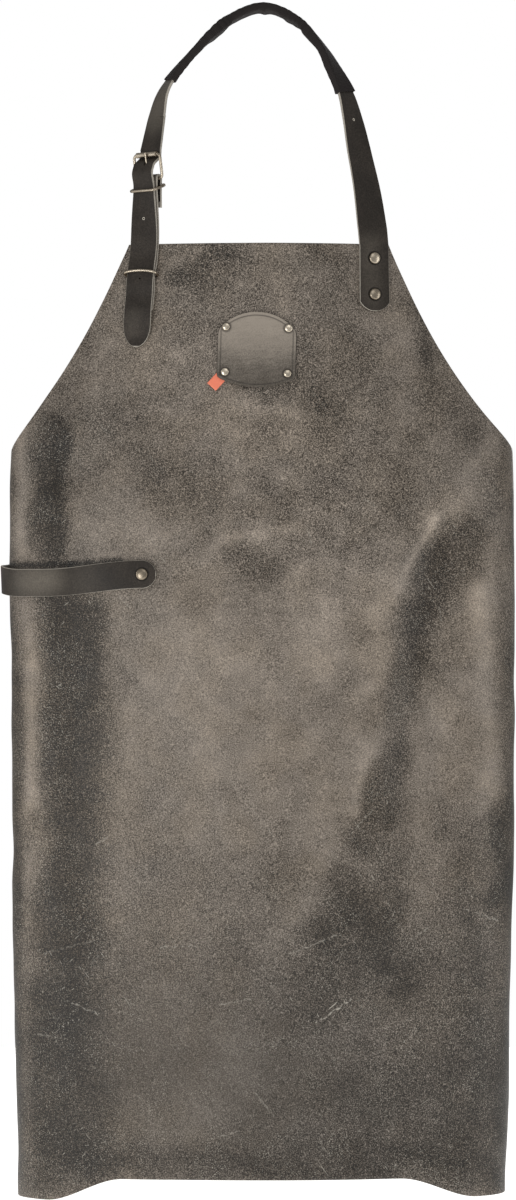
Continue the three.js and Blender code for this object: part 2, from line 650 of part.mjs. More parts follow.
// The sleeve: an outer and an inner skin round the strap, joined at both ends, with small gathers.
function neckSleeve() {
  const rings = withFrames(neckRun).slice(SLEEVE_FROM * RUN_STEPS, SLEEVE_TO * RUN_STEPS + 1);
  const positions = [];
  const indices = [];
  const sides = 8;
  rings.forEach((ring, i) => {
    const t = i / (rings.length - 1);
    const gather = SLEEVE.gather * (0.5 - 0.5 * Math.cos(2 * Math.PI * SLEEVE.gathers * t));
    for (const grow of [0, SLEEVE.wall + gather]) {
      const half = STRAP_WIDTH / 2 + SLEEVE.side + grow;
      const thick = STRAP / 2 + SLEEVE.slack + grow;
      for (const corner of flatRing(half, thick, SLEEVE.bevel)) {
        const point = ring.point.clone().addScaledVector(ring.edge, corner.across);
        positions.push(...point.addScaledVector(ring.normal, corner.out).toArray());
      }
    }
  });
  const at = (i, skin, k) => (2 * i + skin) * sides + (k % sides);
  const quad = (a, b, c, d) => indices.push(a, b, c, a, c, d);
  for (let k = 0; k < sides; k += 1) {
    for (let i = 0; i + 1 < rings.length; i += 1) {
      quad(at(i, 0, k), at(i, 0, k + 1), at(i + 1, 0, k + 1), at(i + 1, 0, k));
      quad(at(i, 1, k), at(i + 1, 1, k), at(i + 1, 1, k + 1), at(i, 1, k + 1));
    }
    const end = rings.length - 1;
    quad(at(0, 0, k), at(0, 1, k), at(0, 1, k + 1), at(0, 0, k + 1));
    quad(at(end, 0, k), at(end, 0, k + 1), at(end, 1, k + 1), at(end, 1, k));
  }
  const geometry = new THREE.BufferGeometry();
  geometry.setAttribute("position", new THREE.Float32BufferAttribute(positions, 3));
  geometry.setIndex(indices);
  return geometry;
}

// A closed rounded rectangle of wire in the plane of two directions.
function wireLoop(halfAcross, low, high, corner, toPoint, steps) {
  const path = new THREE.CurvePath();
  const corners = [
    [-halfAcross, low],
    [halfAcross, low],
    [halfAcross, high],
    [-halfAcross, high],
  ].map(([a, b]) => toPoint(a, b));
  corners.forEach((here, i) => {
    const before = corners[(i + 3) % 4];
    const after = corners[(i + 1) % 4];
    const enter = here.clone().add(before.clone().sub(here).setLength(corner));
    const leave = here.clone().add(after.clone().sub(here).setLength(corner));
    const stop = after.clone().add(here.clone().sub(after).setLength(corner));
    path.add(new THREE.QuadraticBezierCurve3(enter, here, leave));
    path.add(new THREE.LineCurve3(leave, stop));
  });
  return new THREE.TubeGeometry(path, steps, WIRE, WIRE_SIDES, true);
}

// Frame with its heel bar, roller and tongue, in a group that leans with the strap.
function addBuckle() {
  const group = leftGroup(0, 0);
  const half = STRAP_WIDTH / 2 + BUCKLE.side + WIRE;
  const leaning = (across, up) => new THREE.Vector3(across, (-BUCKLE.lean * up) / BUCKLE.height, up);
  const frame = wireLoop(half, 0, BUCKLE.height, BUCKLE.corner, leaning, BUCKLE.steps);
  addMesh("buckle_frame", frame, MATERIALS.antiqueBrass, group);

  const inner = WIRE + GAP;
  const end = BUCKLE.rollerLength / 2;
  const tube = [
    new THREE.Vector2(inner, -end),
    new THREE.Vector2(BUCKLE.roller, -end),
    new THREE.Vector2(BUCKLE.roller, end),
    new THREE.Vector2(inner, end),
    new THREE.Vector2(inner, -end),
  ];
  const barrel = new THREE.LatheGeometry(tube, ROUND_SIDES);
  const roller = addMesh("buckle_roller", barrel, MATERIALS.antiqueBrass, group);
  roller.rotation.z = Math.PI / 2;
  roller.position.set(0, -BUCKLE.lean, BUCKLE.height);

  const { foot, tip } = tongueLine();
  const ringOut = inner + TONGUE.ring;
  const ringProfile = [
    new THREE.Vector2(inner, -TONGUE.radius),
    new THREE.Vector2(ringOut, -TONGUE.radius),
    new THREE.Vector2(ringOut, TONGUE.radius),
    new THREE.Vector2(inner, TONGUE.radius),
    new THREE.Vector2(inner, -TONGUE.radius),
  ];
  const ring = new THREE.LatheGeometry(ringProfile, ROUND_SIDES).rotateZ(Math.PI / 2);
  const rod = new THREE.LineCurve3(
    new THREE.Vector3(0, -foot.lift, foot.rise),
    new THREE.Vector3(0, -tip.lift, tip.rise),
  );
  const round = new THREE.Shape().absarc(0, 0, TONGUE.radius, 0, 2 * Math.PI);
  const bar = new THREE.ExtrudeGeometry(round, { steps: 6, curveSegments: 8, extrudePath: rod });
  const tongue = geometryOf(solidOf(ring).add(solidOf(bar)));
  addMesh("buckle_tongue", tongue, MATERIALS.antiqueBrass, group);
}

// Two wire keepers, each wide enough for the layers it holds.
function addKeepers() {
  const half = STRAP_WIDTH / 2 + KEEPER.side;
  const reach = STRAP / 2 + GAP + WIRE;
  const upper = leftGroup(KEEPER_UPPER.rise, 0);
  upper.rotateX(THREE.MathUtils.degToRad(KEEPER_UPPER.tilt));
  const flat = (across, back) => new THREE.Vector3(across, back, 0);
  const upperFront = -freeEndLift(KEEPER_UPPER.rise) - reach - KEEPER.slack;
  const upperBack = heelWrap + reach + KEEPER.slack;
  const upperLoop = wireLoop(half, upperFront, upperBack, KEEPER.corner, flat, KEEPER.steps);
  addMesh("keeper_upper", upperLoop, MATERIALS.antiqueBrass, upper);

  const lower = leftGroup(riseOfDrop(KEEPER_LOWER.drop), 0);
  lower.rotateX(THREE.MathUtils.degToRad(KEEPER_LOWER.tilt));
  const lowerFront = -freeOverHump - reach - KEEPER.slack;
  const lowerBack = -SHEET / 2 - SEAT - WIRE;
  const lowerLoop = wireLoop(half, lowerFront, lowerBack, KEEPER.corner, flat, KEEPER.steps);
  addMesh("keeper_lower", lowerLoop, MATERIALS.antiqueBrass, lower);
}

// The loop: along the front, round the sheet's edge and back along the inside to the same rivet.
function sideLoop() {
  const stations = [];
  const end = LOOP.across + STRAP_WIDTH / 2;
  const endRows = 6;
  const add = (across, lift, drop, halfWidth = STRAP_WIDTH / 2) => {
    const edge = sheetFrame(across, drop).down.negate();
    stations.push({ point: onSheet(across, drop, lift), edge, halfWidth });
  };
  const roundEnd = (i) => {
    const fromEnd = (STRAP_WIDTH / 2) * (i / endRows) ** 2;
    return { fromEnd, half: endHalfWidth(fromEnd, STRAP_WIDTH / 2, STRAP_WIDTH / 2) };
  };
  for (let i = 0; i <= endRows; i += 1) {
    const { fromEnd, half } = roundEnd(i);
    add(end - fromEnd, strapLift, LOOP.drop, half);
  }
  const runRows = 14;
  for (let i = 1; i <= runRows; i += 1) {
    const t = i / runRows;
    const lift = mix(strapLift, LOOP.stand, ease(t, 0, LOOP_SHARES.risen));
    add(mix(LOOP.across, -HALF_WIDTH, t), lift, LOOP.drop + LOOP.sag * ease(t, 0, LOOP_SHARES.sagged));
  }
  const backDrop = LOOP.drop + LOOP.backSag;
  const edgeFrame = sheetFrame(-HALF_WIDTH, LOOP.drop + LOOP.sag);
  const radius = (LOOP.stand + LOOP.back) / 2;
  const turnRows = 7;
  for (let i = 1; i < turnRows; i += 1) {
    const a = (i / turnRows) * Math.PI;
    const out = (LOOP.clear + radius) * Math.sin(a);
    const lift = LOOP.stand - radius + radius * Math.cos(a);
    const point = edgeFrame.point.clone().addScaledVector(edgeFrame.across, -out);
    point.addScaledVector(edgeFrame.normal, lift);
    point.z = BIB_TOP_Z - mix(LOOP.drop + LOOP.sag, backDrop, i / turnRows);
    stations.push({ point, edge: edgeFrame.down.clone().negate(), halfWidth: STRAP_WIDTH / 2 });
  }
  for (let i = 0; i <= runRows; i += 1) {
    const t = i / runRows;
    const lift = mix(-LOOP.back, -strapLift, ease(t, LOOP_SHARES.closing, 1));
    add(mix(-HALF_WIDTH, LOOP.across, t), lift, mix(backDrop, LOOP.drop, t));
  }
  for (let i = endRows - 1; i >= 0; i -= 1) {
    const { fromEnd, half } = roundEnd(i);
    add(end - fromEnd, -strapLift, LOOP.drop, half);
  }
  return cut(strapWall(stations), [rivetHole(loopRivet, RIVET, PUNCH_REACH.loop)]);
}

// How far the patch is raised where the tab lies under its corner.
function patchRaise(across, down) {
  const corner = new THREE.Vector2(-PATCH_RIVET_AT.across, PATCH_RIVET_AT.down);
  const off = corner.distanceTo(new THREE.Vector2(across, down));
  return (TAB + GAP) * (1 - ease(off, TAB_RAISE.flat, TAB_RAISE.reach));
}

function patchLift(across, down) {
  return SHEET / 2 + GAP + PATCH / 2 + patchRaise(across, down);
}

// Half width of the patch at a height: the lesser of its straight side and its arches, with soft shoulders.
function patchHalf(down) {
  const { halfWidth, top, bottom, narrowest, shoulder } = PATCH_SIZE;
  const arch = (depth, radius) => Math.sqrt(Math.max(0, (2 * radius - depth) * depth));
  const { topRadius, bottomRadius } = PATCH_ARCHES;
  const arched = Math.min(arch(top + down, topRadius), arch(bottom - down, bottomRadius));
  const share = clamp01(0.5 + (halfWidth - arched) / (2 * shoulder));
  const soft = mix(halfWidth, arched, share) - shoulder * share * (1 - share);
  return Math.max(narrowest, soft);
}

// The patch: rows run down it, closer together in its arches.
function patch() {
  const columns = 7;
  const archRows = 4;
  const sideRows = 4;
  const from = PATCH_ARCHES.topDepth - PATCH_SIZE.top;
  const to = PATCH_SIZE.bottom - PATCH_ARCHES.bottomDepth;
  const levels = [];
  for (let i = 0; i < archRows; i += 1) {
    levels.push(mix(-PATCH_SIZE.top, from, (i / archRows) ** 2));
  }
  for (let i = 0; i <= sideRows; i += 1) {
    levels.push(mix(from, to, i / sideRows));
  }
  for (let i = archRows - 1; i >= 0; i -= 1) {
    levels.push(mix(PATCH_SIZE.bottom, to, (i / archRows) ** 2));
  }
  const shape = wall(levels.length, columns, PATCH, (i, j) => {
    const down = levels[i];
    const across = patchHalf(down) * ((2 * j) / (columns - 1) - 1);
    const frame = patchFrame(across, down);
    const lift = patchLift(across, down);
    return { point: frame.point.clone().addScaledVector(frame.normal, lift), normal: frame.normal };
  });
  return cut(shape, patchRivets.map((frame) => rivetHole(frame, PATCH_RIVET, PUNCH_REACH.sheet)));
}

// The tab: a strip tucked under the patch's lower left corner and held by the rivet there.
function cornerTab() {
  const rows = 6;
  const columns = 3;
  const shape = wall(rows, columns, TAB, (i, j) => {
    const along = mix(-TAB_SIZE.tucked, TAB_SIZE.out, i / (rows - 1));
    const side = TAB_SIZE.halfWidth * (j - 1);
    const across = -PATCH_RIVET_AT.across + side * Math.cos(TAB_TURN) + along * Math.sin(TAB_TURN);
    const down = PATCH_RIVET_AT.down + along * Math.cos(TAB_TURN) - side * Math.sin(TAB_TURN);
    const frame = patchFrame(across, down);
    const lift = SHEET / 2 + GAP + TAB / 2;
    return { point: frame.point.clone().addScaledVector(frame.normal, lift), normal: frame.normal };
  });
  return cut(shape, [rivetHole(patchRivets[2], PATCH_RIVET, PUNCH_REACH.sheet)]);
}

addMesh("apron_body", apronBody(), MATERIALS.sheetLeather);
addMesh("neck_strap", neckStrap(), MATERIALS.strapLeather);
addMesh("neck_sleeve", neckSleeve(), MATERIALS.sleeveCloth);
addMesh("buckle_strap", buckleStrap(), MATERIALS.strapLeather);
addMesh("side_loop", sideLoop(), MATERIALS.strapLeather);
addMesh("patch", patch(), MATERIALS.patchLeather);
addMesh("corner_tab", cornerTab(), MATERIALS.tabLeather);
addBuckle();
addKeepers();

const strapFace = strapLift + STRAP / 2;
const sheetBack = -SHEET / 2;
["upper", "lower"].forEach((place, i) => {
  addRivet(`rivet_right_${place}`, RIVET, rightRivets[i], strapFace, sheetBack);
  addRivet(`rivet_left_${place}`, HIDDEN_RIVET, leftRivets[i], strapFace, sheetBack);
});
addRivet("rivet_side_loop", RIVET, loopRivet, strapFace, -strapFace);
patchCorners.forEach((corner, i) => {
  const lift = patchLift(corner.across * PATCH_RIVET_AT.across, corner.down * PATCH_RIVET_AT.down);
  addRivet(`rivet_patch_${corner.name}`, PATCH_RIVET, patchRivets[i], lift + PATCH / 2, sheetBack);
});

export default apron;
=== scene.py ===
"""A leather work apron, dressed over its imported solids.

Sizes of the form are in millimetres in the apron's own frame: +Z up, the front faces -Y,
and the origin lies under the middle of the neck sleeve.
"""

import math

import bmesh
import bpy
import numpy as np
from bpy.props import FloatProperty, FloatVectorProperty, PointerProperty
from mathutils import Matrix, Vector


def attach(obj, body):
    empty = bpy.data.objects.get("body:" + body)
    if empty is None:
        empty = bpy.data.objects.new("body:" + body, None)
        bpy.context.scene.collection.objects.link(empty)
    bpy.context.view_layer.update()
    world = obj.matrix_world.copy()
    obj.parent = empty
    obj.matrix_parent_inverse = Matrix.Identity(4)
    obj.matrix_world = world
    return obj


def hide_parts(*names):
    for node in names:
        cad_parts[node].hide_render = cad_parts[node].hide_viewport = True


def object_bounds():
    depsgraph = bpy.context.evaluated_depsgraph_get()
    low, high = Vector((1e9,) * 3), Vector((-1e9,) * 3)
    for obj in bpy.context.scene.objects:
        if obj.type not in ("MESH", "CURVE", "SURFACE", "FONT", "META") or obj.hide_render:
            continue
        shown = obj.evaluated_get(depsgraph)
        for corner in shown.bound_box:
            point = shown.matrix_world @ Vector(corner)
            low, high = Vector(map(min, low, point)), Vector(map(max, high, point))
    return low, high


bl_info = {
    "name": "Leather Work Apron",
    "version": (1, 0, 0),
    "blender": (4, 5, 0),
    "location": "View3D > Sidebar > Apron",
    "description": "Dresses a packed leather work apron with its leather, textile and metal",
    "category": "Object",
}

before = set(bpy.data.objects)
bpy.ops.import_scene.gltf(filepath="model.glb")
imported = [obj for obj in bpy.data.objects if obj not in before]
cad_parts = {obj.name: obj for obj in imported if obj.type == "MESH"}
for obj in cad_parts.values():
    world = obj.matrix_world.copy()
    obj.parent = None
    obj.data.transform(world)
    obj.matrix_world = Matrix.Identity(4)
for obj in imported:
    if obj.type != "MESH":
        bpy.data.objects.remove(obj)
CAD_BOX = [list(corner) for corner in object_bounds()]

MM = 0.001

# The cut of the sheet: distances across from its middle line, and drops below the bib's top edge.
HALF_WIDTH = 310
BODY_LENGTH = 1004
ARMHOLE_DROP = 226
# Each armhole: the bib's half width at its top edge, then across and drop of the bend.
LEFT_ARMHOLE = (147, 247, 222)
RIGHT_ARMHOLE = (139.5, 228, 210)
LEFT_HEM_DIP, RIGHT_HEM_DIP = 24.5, 21
HEM_DIP_FROM, HEM_DIP_TO = 150, 235
HEM_CORNER = 22

# The form the sheet hangs in.
BIB_TOP_Z = -257
FRONT_Y = -90
BIB_LEAN = 26
BIB_LEAN_DROP = 420
HEM_TUCK = 12
HEM_TUCK_FROM, HEM_TUCK_TO = 560, 1000
CHEST_RADIUS, SKIRT_RADIUS = 370, 1050
CHEST_DROP = 280
CURL_TURN = math.radians(98)
CURL_START, CURL_LOW_START = 212, 176
CURL_FROM, CURL_TO = 500, 1250
BEND_STEPS = 36

# The sheet's mesh: its columns and rows, how far the outermost ones lie from the edge, and how thick
# the leather is at its rim, as a share of its wall.
SHEET_COLUMNS, BIB_ROWS, SKIRT_ROWS = 141, 56, 184
EDGE_INSET = 0.7
SHEET_RIM, PLATE_RIM = 0.55, 0.5

# Sets of sine waves over the cut: shortest, longest, and height as a share of the length.
WAVE_COUNT = 36
FINE_SEED, FINE_WAVES = 11, (45, 150, 0.0011)
WANDER_SEEDS, WANDER_WAVES = (21, 22), (25, 110, 0.018)

# Soft folds: across and drop of both ends, how far each spreads, how far it stands out.
FOLDS = [
    (206, 250, 140, 348, 20, 6),
    (138, 352, 122, 570, 30, 5),
    (190, 318, 152, 590, 30, -7),
    (226, 380, 208, 700, 34, 5),
    (-62, 372, 66, 312, 30, -6),
    (-204, 240, -190, 700, 36, -5),
    (-20, 500, 10, 640, 120, 9),
    (112, 650, 20, 880, 60, 5),
    (110, 860, 160, 990, 60, -5),
    (-298, 450, -298, 650, 40, -2.7),
    (296, 890, 294, 950, 40, 2),
]

# Where the hide is darker or paler than its middle tone, laid out in the same way: partly its own tone,
# partly painted sheen and painted shade.
DEEP, DARK, SHADED, PALE, BRIGHT = -0.4, -0.25, -0.13, 0.12, 0.21
TONE_SHEEN_AND_SHADE = [
    # Left side.
    (-205, 182, -175, 192, 34, SHADED),
    (-204, 800, -202, 975, 33, DEEP),
    (-214, 205, -218, 255, 15, SHADED),
    (-264, 740, -262, 850, 34, SHADED),
    (-262, 868, -260, 1010, 30, DARK),
    (-240, 810, -238, 985, 22, SHADED),
    (-165, 350, -165, 410, 15, PALE),
    (-180, 440, -178, 470, 14, SHADED),
    (-145, 500, -145, 550, 15, PALE),
    # Bib and waist.
    (-40, 6, -86, 56, 13, DARK),
    (-85, 15, -112, 60, 10, PALE),
    (55, 8, 70, 30, 16, SHADED),
    (-70, 130, -55, 200, 28, PALE),
    (25, 10, 30, 80, 25, PALE),
    (170, 70, 190, 120, 12, DARK),
    (140, 110, 150, 190, 20, PALE),
    (55, 165, 75, 185, 17, DARK),
    (-25, 180, 30, 185, 19, BRIGHT),
    (195, 150, 225, 200, 17, SHADED),
    (-120, 225, -95, 275, 26, SHADED),
    (-25, 235, -30, 300, 20, PALE),
    (-185, 300, -120, 303, 23, PALE),
    (88, 290, 90, 310, 14, PALE),
    (95, 105, 100, 130, 18, SHADED),
    (66, 232, 70, 255, 18, SHADED),
    (147, 250, 150, 300, 18, SHADED),
    (-50, 326, 40, 308, 11, PALE),
    (-20, 353, 40, 336, 15, SHADED),
    # Right side: the slanting ridge and the pale hip.
    (252, 215, 186, 300, 13, PALE),
    (146, 362, 112, 486, 11, PALE),
    (262, 240, 250, 290, 14, SHADED),
    (236, 358, 233, 470, 20, BRIGHT),
    (224, 364, 222, 425, 11, PALE),
    (244, 490, 246, 590, 15, PALE),
    (206, 470, 202, 520, 16, PALE),
    (176, 550, 174, 625, 14, PALE),
    (292, 265, 292, 335, 14, DARK),
    (288, 430, 286, 700, 17, DARK),
    (262, 595, 266, 700, 17, DEEP),
    (215, 640, 225, 780, 25, SHADED),
    (228, 720, 232, 880, 30, SHADED),
    (286, 700, 282, 860, 20, DARK),
    (135, 660, 150, 705, 20, SHADED),
    (140, 705, 146, 800, 24, SHADED),
    (286, 860, 282, 1000, 28, DEEP),
    # Belly.
    (-20, 400, 10, 520, 60, PALE),
    (130, 330, 125, 390, 20, PALE),
    (-109, 425, -104, 510, 32, PALE),
    (67, 350, 64, 440, 26, BRIGHT),
    (-60, 425, -40, 440, 24, PALE),
    (55, 540, 60, 650, 22, PALE),
    (94, 520, 100, 595, 19, PALE),
    (-142, 768, -45, 762, 32, SHADED),
    (-125, 690, -5, 685, 34, SHADED),
    # Lower right and hem.
    (96, 710, 148, 768, 38, DARK),
    (50, 810, 200, 832, 66, SHADED),
    (72, 800, 92, 740, 30, SHADED),
    (30, 928, 224, 928, 64, DARK),
    (-174, 987, 170, 987, 23, DARK),
    (212, 985, 256, 1005, 24, DARK),
    (-150, 875, -100, 885, 64, SHADED),
]

# Narrow rolls and creases: painted highlights where pale, painted shade where dark.
CREASE_SHEEN_AND_SHADE = [
    (-264, 195, -264, 330, 9, BRIGHT),
    (-254, 395, -252, 600, 9, BRIGHT),
    (-271, 470, -271, 730, 10, DARK),
    (-258, 660, -264, 1000, 8, PALE),
    (-288, 230, -288, 360, 9, SHADED),
    (-286, 395, -284, 1000, 12, DARK),
    (-40, 318, 30, 306, 5, PALE),
    (112, 540, 98, 610, 6, PALE),
]

# Painted shade in hollows, with a plainer edge: the band beside the left edge, and the one below the
# ridge.
HOLLOW_SHADE = [
    (-225, 200, -236, 325, 20, DEEP),
    (-207, 398, -206, 742, 37, DEEP),
    (217, 316, 191, 358, 28, DARK),
    (190, 350, 162, 418, 19, SHADED),
    (169, 402, 147, 498, 26, DARK),
    (141, 542, 112, 640, 21, DARK),
    (94, 684, 66, 735, 22, SHADED),
]

# Kinds of tone marks, which paint sheen and shade: how far each follows the wander of the hide, and how
# plainly it ends.
TONE_MARKS = [(TONE_SHEEN_AND_SHADE, 1, 2), (CREASE_SHEEN_AND_SHADE, 0.3, 2), (HOLLOW_SHADE, 0.6, 4)]

# Levels of the hide's tone: how pale and how warm the hide is at each.
MIDDLE_LEVEL = 0.41
HIDE_LEVELS = [
    (-0.3, 0.04, 0.25),
    (0.0, 0.14, 0.2),
    (0.25, 0.42, 0.1),
    (0.5, 1.0, 0.0),
    (0.75, 1.75, 0.0),
    (1.1, 2.9, 0.0),
]

# Where the hide is smoother, or coarser, than elsewhere.
COARSER, SMOOTHER = 1.0, -1.3
GRAIN_ZONES = [
    (-60, 60, 60, 260, 170, COARSER),
    (-110, 880, -20, 900, 100, SMOOTHER),
]

# Where the hide is warmer, or cooler, than elsewhere.
WARMTH, WARMER, COOLER = 0.45, 0.45, -0.5
TINT_ZONES = [
    (-205, 420, -205, 740, 45, WARMER),
    (60, 900, 230, 890, 150, COOLER),
]

# Sharp lines of painted light on the front: x and z of both ends, reach, and how much paler each is.
# A painted highlight on the ridge's crest, and a painted shadow along the loop's upper edge.
PAINTED_LIGHT_LINES = [
    (188, -550, 155, -606, 8, 0.22),
    (151, -614, 140, -640, 10, 0.1),
    (-277, -603, -205, -602, 6, -0.5),
    (-205, -602, -152, -598, 6, -0.5),
]

# Pale hairline scuffs on the front: x and z of both ends, and how strongly each shows.
SCUFF_REACH = 1.6
SCUFFS = [
    (58, -1092, 96, -1067, 1.0),
    (29, -1018, 82, -997, 0.5),
    (-108, -1011, -69, -1010, 0.45),
    (-45, -1073, -13, -1067, 0.5),
    (-56, -1217, -27, -1209, 0.5),
    (-6, -1168, 12, -1192, 0.4),
    (-209, -1070, -178, -1083, 0.5),
    (-241, -1108, -209, -1111, 0.4),
    (162, -1002, 177, -992, 0.5),
    (216, -971, 254, -985, 0.5),
    (189, -646, 192, -662, 0.5),
    (142, -763, 184, -757, 0.35),
    (-178, -902, -163, -893, 0.5),
    (93, -891, 121, -861, 0.45),
    (-54, -861, -20, -874, 0.25),
    (-234, -1019, -178, -1005, 0.25),
    (-173, -452, -168, -458, 0.6),
    (110, -533, 121, -540, 0.5),
    (-120, -572, -113, -583, 0.6),
    (49, -564, 52, -580, 0.4),
    (-152, -637, -142, -648, 0.6),
]

# Painted highlights on the straps: x and z of both ends, how far each spreads, how strongly it shows.
STRAP_HIGHLIGHTS = [
    (-252, -621, -230, -619, 27, 0.22),
    (-230, -620, -198, -618, 40, 0.06),
    (-100, -84, -117, -122, 26, 0.2),
    (-138, -334, -140, -352, 14, 0.06),
    (115, -258, 118, -318, 20, 0.1),
]

# The neck strap's free run: x, y, z of its middle line and the way its outer edge faces, in degrees.
NECK_RUN = [
    (119, -46, -242, 18),
    (113, -41, -198, 25),
    (104.5, -36, -155, 32),
    (98, -32, -122, 45),
    (90, -29.5, -92, 57),
    (77.5, -28, -66, 68),
    (66, -24, -44, 79),
    (39, -9, -12.5, 88),
    (2, 0, 3.8, 90),
    (-37, -9, -11.5, 91),
    (-58, -20, -30, 93),
    (-79, -24, -53, 99),
    (-99.5, -26, -79, 108),
    (-108, -27, -95, 114),
    (-114, -29, -120.5, 126),
]
RUN_STEPS, SLEEVE_STEPS = 12, 24
SLEEVE_FROM, SLEEVE_TO = 4, 12
RIGHT_HOLE_STATION = 3
# Gathers on the sleeve's underside: x, how far each spreads along the sleeve, how far it stands out.
GATHERS = [
    (-70, 6, 0.8),
    (-50, 9, 2.4),
    (-43, 3.5, 1.4),
    (3, 4, 2.0),
    (28, 4, 1.4),
    (36, 3, 0.8),
    (54.5, 4.5, 2.3),
    (62, 3, 1.2),
]
# The sleeve's section: sides of its mesh, how boxy it is, its room round the strap and its wall.
SLEEVE_SIDES, SLEEVE_BOXY = 44, 0.28
SLEEVE_ROOM_WIDE, SLEEVE_ROOM_DEEP, SLEEVE_WALL = 2.9, 2.2, 1.3
# Small ripples, which fade out to the sleeve's ends: seed, number, lengths, lean and height.
RIPPLE_SEED, RIPPLE_COUNT, RIPPLE_LENGTHS = 5, 30, (9, 26)
RIPPLE_LEAN, RIPPLE_HEIGHT, RIPPLE_FADE = 1.2, 0.09, 40

# Edges of a strap: its bevel, the half width below which that shrinks, the least half width, and
# the raw rows at its ends.
STRAP_BEVEL, BEVEL_FADE, LEAST_HALF, RAW_ROWS = 0.6, 6, 0.8, 3

# Strap ends on the bib.
RIGHT_ACROSS, RIGHT_DROP, RIGHT_END_RADIUS, RIGHT_EXTRA = 121.8, 73, 19, 1.5
RIGHT_TOP_DROP, RIGHT_RIVET_DROPS = 3, (15.5, 55)
LEFT_ACROSS, LEFT_SLOPE, LEFT_CLIMB = -126.6, 0.085, 0.044
LEFT_EXTRA_TURN, LEFT_TURN_RISE = math.radians(24), 70
LEFT_END_DROP, LEFT_END_LENGTH = 76, 7.5
LEFT_RIVET_DROPS = (13, 57)
HEEL_RISE = 70

# Buckle, keepers and the free end that they hold.
GAP = 0.3
SEAT = 0.5
BUCKLE_HEIGHT, BUCKLE_LEAN, BUCKLE_CORNER, BUCKLE_SIDE = 26, 4, 4.5, 3
# The roller's last value sets how dark its middle is painted, as a painted reflection.
ROLLER, ROLLER_LENGTH, ROLLER_CHAMFER, ROLLER_DARK_REFLECTION = 3, 30, 0.4, 0.8
TONGUE, TONGUE_RING, TONGUE_OVER, TONGUE_FOOT_LIFT = 1.2, 1.5, 2.2, 1.2
TONGUE_SLOT, TONGUE_SLOT_REACH, TONGUE_HOLE, TONGUE_SLANT = 4.2, 11, (1.9, 4.0), 2.6
TONGUE_BLUNT, TONGUE_TAPER, TONGUE_SIDES, TONGUE_EYE = 0.2, 3, 18, 1.35
TAIL = 30
KEEPER_SIDE, KEEPER_CORNER, KEEPER_SLACK, KEEPER_BOW = 2.6, 3.5, 1, 2
KEEPER_UPPER_RISE, KEEPER_UPPER_TILT = -9, math.radians(20)
KEEPER_LOWER_DROP, KEEPER_LOWER_TILT, KEEPER_HUMP = 36, math.radians(-14), 18
FREE_DROP, FREE_POINT, FREE_TIP_LIFT = 112, 24, 3.6
FREE_BULGE, FREE_BULGE_RISE, FREE_BULGE_REACH = 3.5, 6, 9
# Where the free end begins and leaves one layer for the next: rises by the roller and the heel bar,
# then drops by the lower keeper and the tip.
FREE_TOP_RISE, FREE_ROLLER_RISE, FREE_HEEL_RISE = 33, 14, -16
FREE_HUMP_FLAT, FREE_HUMP_SPREAD, FREE_TIP_FROM, FREE_TIP_FLAT = 4, 6, 68, 4
PUNCHED, PUNCHED_RISES, HOLE_SIDES = 0.9, (-43, -109), 20
# How long the cutters are: in the neck run, the free end, for the tongue and for its slot.
RUN_CUT, FREE_CUT, TONGUE_CUT, SLOT_CUT = 14, 8, 12, 30
# Reach of the pale hole rims, and of the painted shadow rings round the strap rivets.
PALE_RIM, RIVET_SHADOW_RING = 1.7, 8.2
HIDDEN_DOME = 1.4

# The loop round the left edge of the sheet.
LOOP_ACROSS, LOOP_DROP, LOOP_SAG = -128, 356, 9
LOOP_STAND, LOOP_BACK, LOOP_CLEAR = 8.6, 7, 3
LOOP_END_RISE = 5
LOOP_TILT = math.radians(16)
# Shares of the loop's run by which it stands off, sags, tilts, rises and comes back to the sheet.
LOOP_STANDS_BY, LOOP_SAGS_BY, LOOP_RISES_FROM = 0.8, 0.6, 0.72
LOOP_TILTS, LOOP_LEVELS = (0.05, 0.5), (0.65, 1)
LOOP_BENT_BY, LOOP_SETTLES_FROM = 0.85, 0.3

# Patch and tab.
PATCH_ACROSS, PATCH_DROP, PATCH_TURN = -5.5, 114, math.radians(-1.5)
PATCH_HALF_WIDTH, PATCH_TOP, PATCH_BOTTOM, PATCH_SHOULDER = 42, 39.4, 42, 5
PATCH_TOP_RADIUS, PATCH_BOTTOM_RADIUS = 55, 91
PATCH_RIVET_ACROSS, PATCH_RIVET_UP, PATCH_RIVET_DOWN = 33.3, 22.6, 26.2
TAB_HALF_WIDTH, TAB_OUT, TAB_TUCKED = 6.2, 21.5, 6
TAB_TURN = math.radians(-41)
TAB_RAISE_FLAT, TAB_RAISE_REACH = 13, 27
TAB_CURL, TAB_CURL_FROM = 0.5, 12
# What is pressed into the patch: how far its border lies from the edge, the rings round its rivets,
# how broad both lines are and how deep.
PATCH_BORDER, PATCH_BORDER_SPREAD = 3.4, 0.7
PATCH_RING, PATCH_RING_SPREAD = 4.9, 0.9
PRESSED_DEPTH = 0.35
PATCH_STEPS, PATCH_RIM_SHARE, TAB_STEPS, TAB_COLUMNS = 97, 0.98, 40, 21

# Rivets: cap radius, dome height, post radius, back cap radius and height, and how dull each is.
RIVET = (6.3, 3, 2, 5, 1.2, 0.5)
LOOP_RIVET = (6.3, 2.7, 2, 5, 1.2, 0.82)
HIDDEN_RIVET = (5, HIDDEN_DOME, 2, 5, 1.2, 0.68)
PATCH_RIVET = (4.2, 1.8, 1.3, 3.5, 1, 0.0)

LATHE_SIDES, WIRE_SIDES, CORNER_STEPS = 40, 14, 8
# How dark the wire stays where it faces front, under its painted highlight.
BUCKLE_DULL, KEEPER_DULL = 0.36, 0.58

# Noise cells of the hide's grain in a metre.
HIDE_GRAIN = 800.0

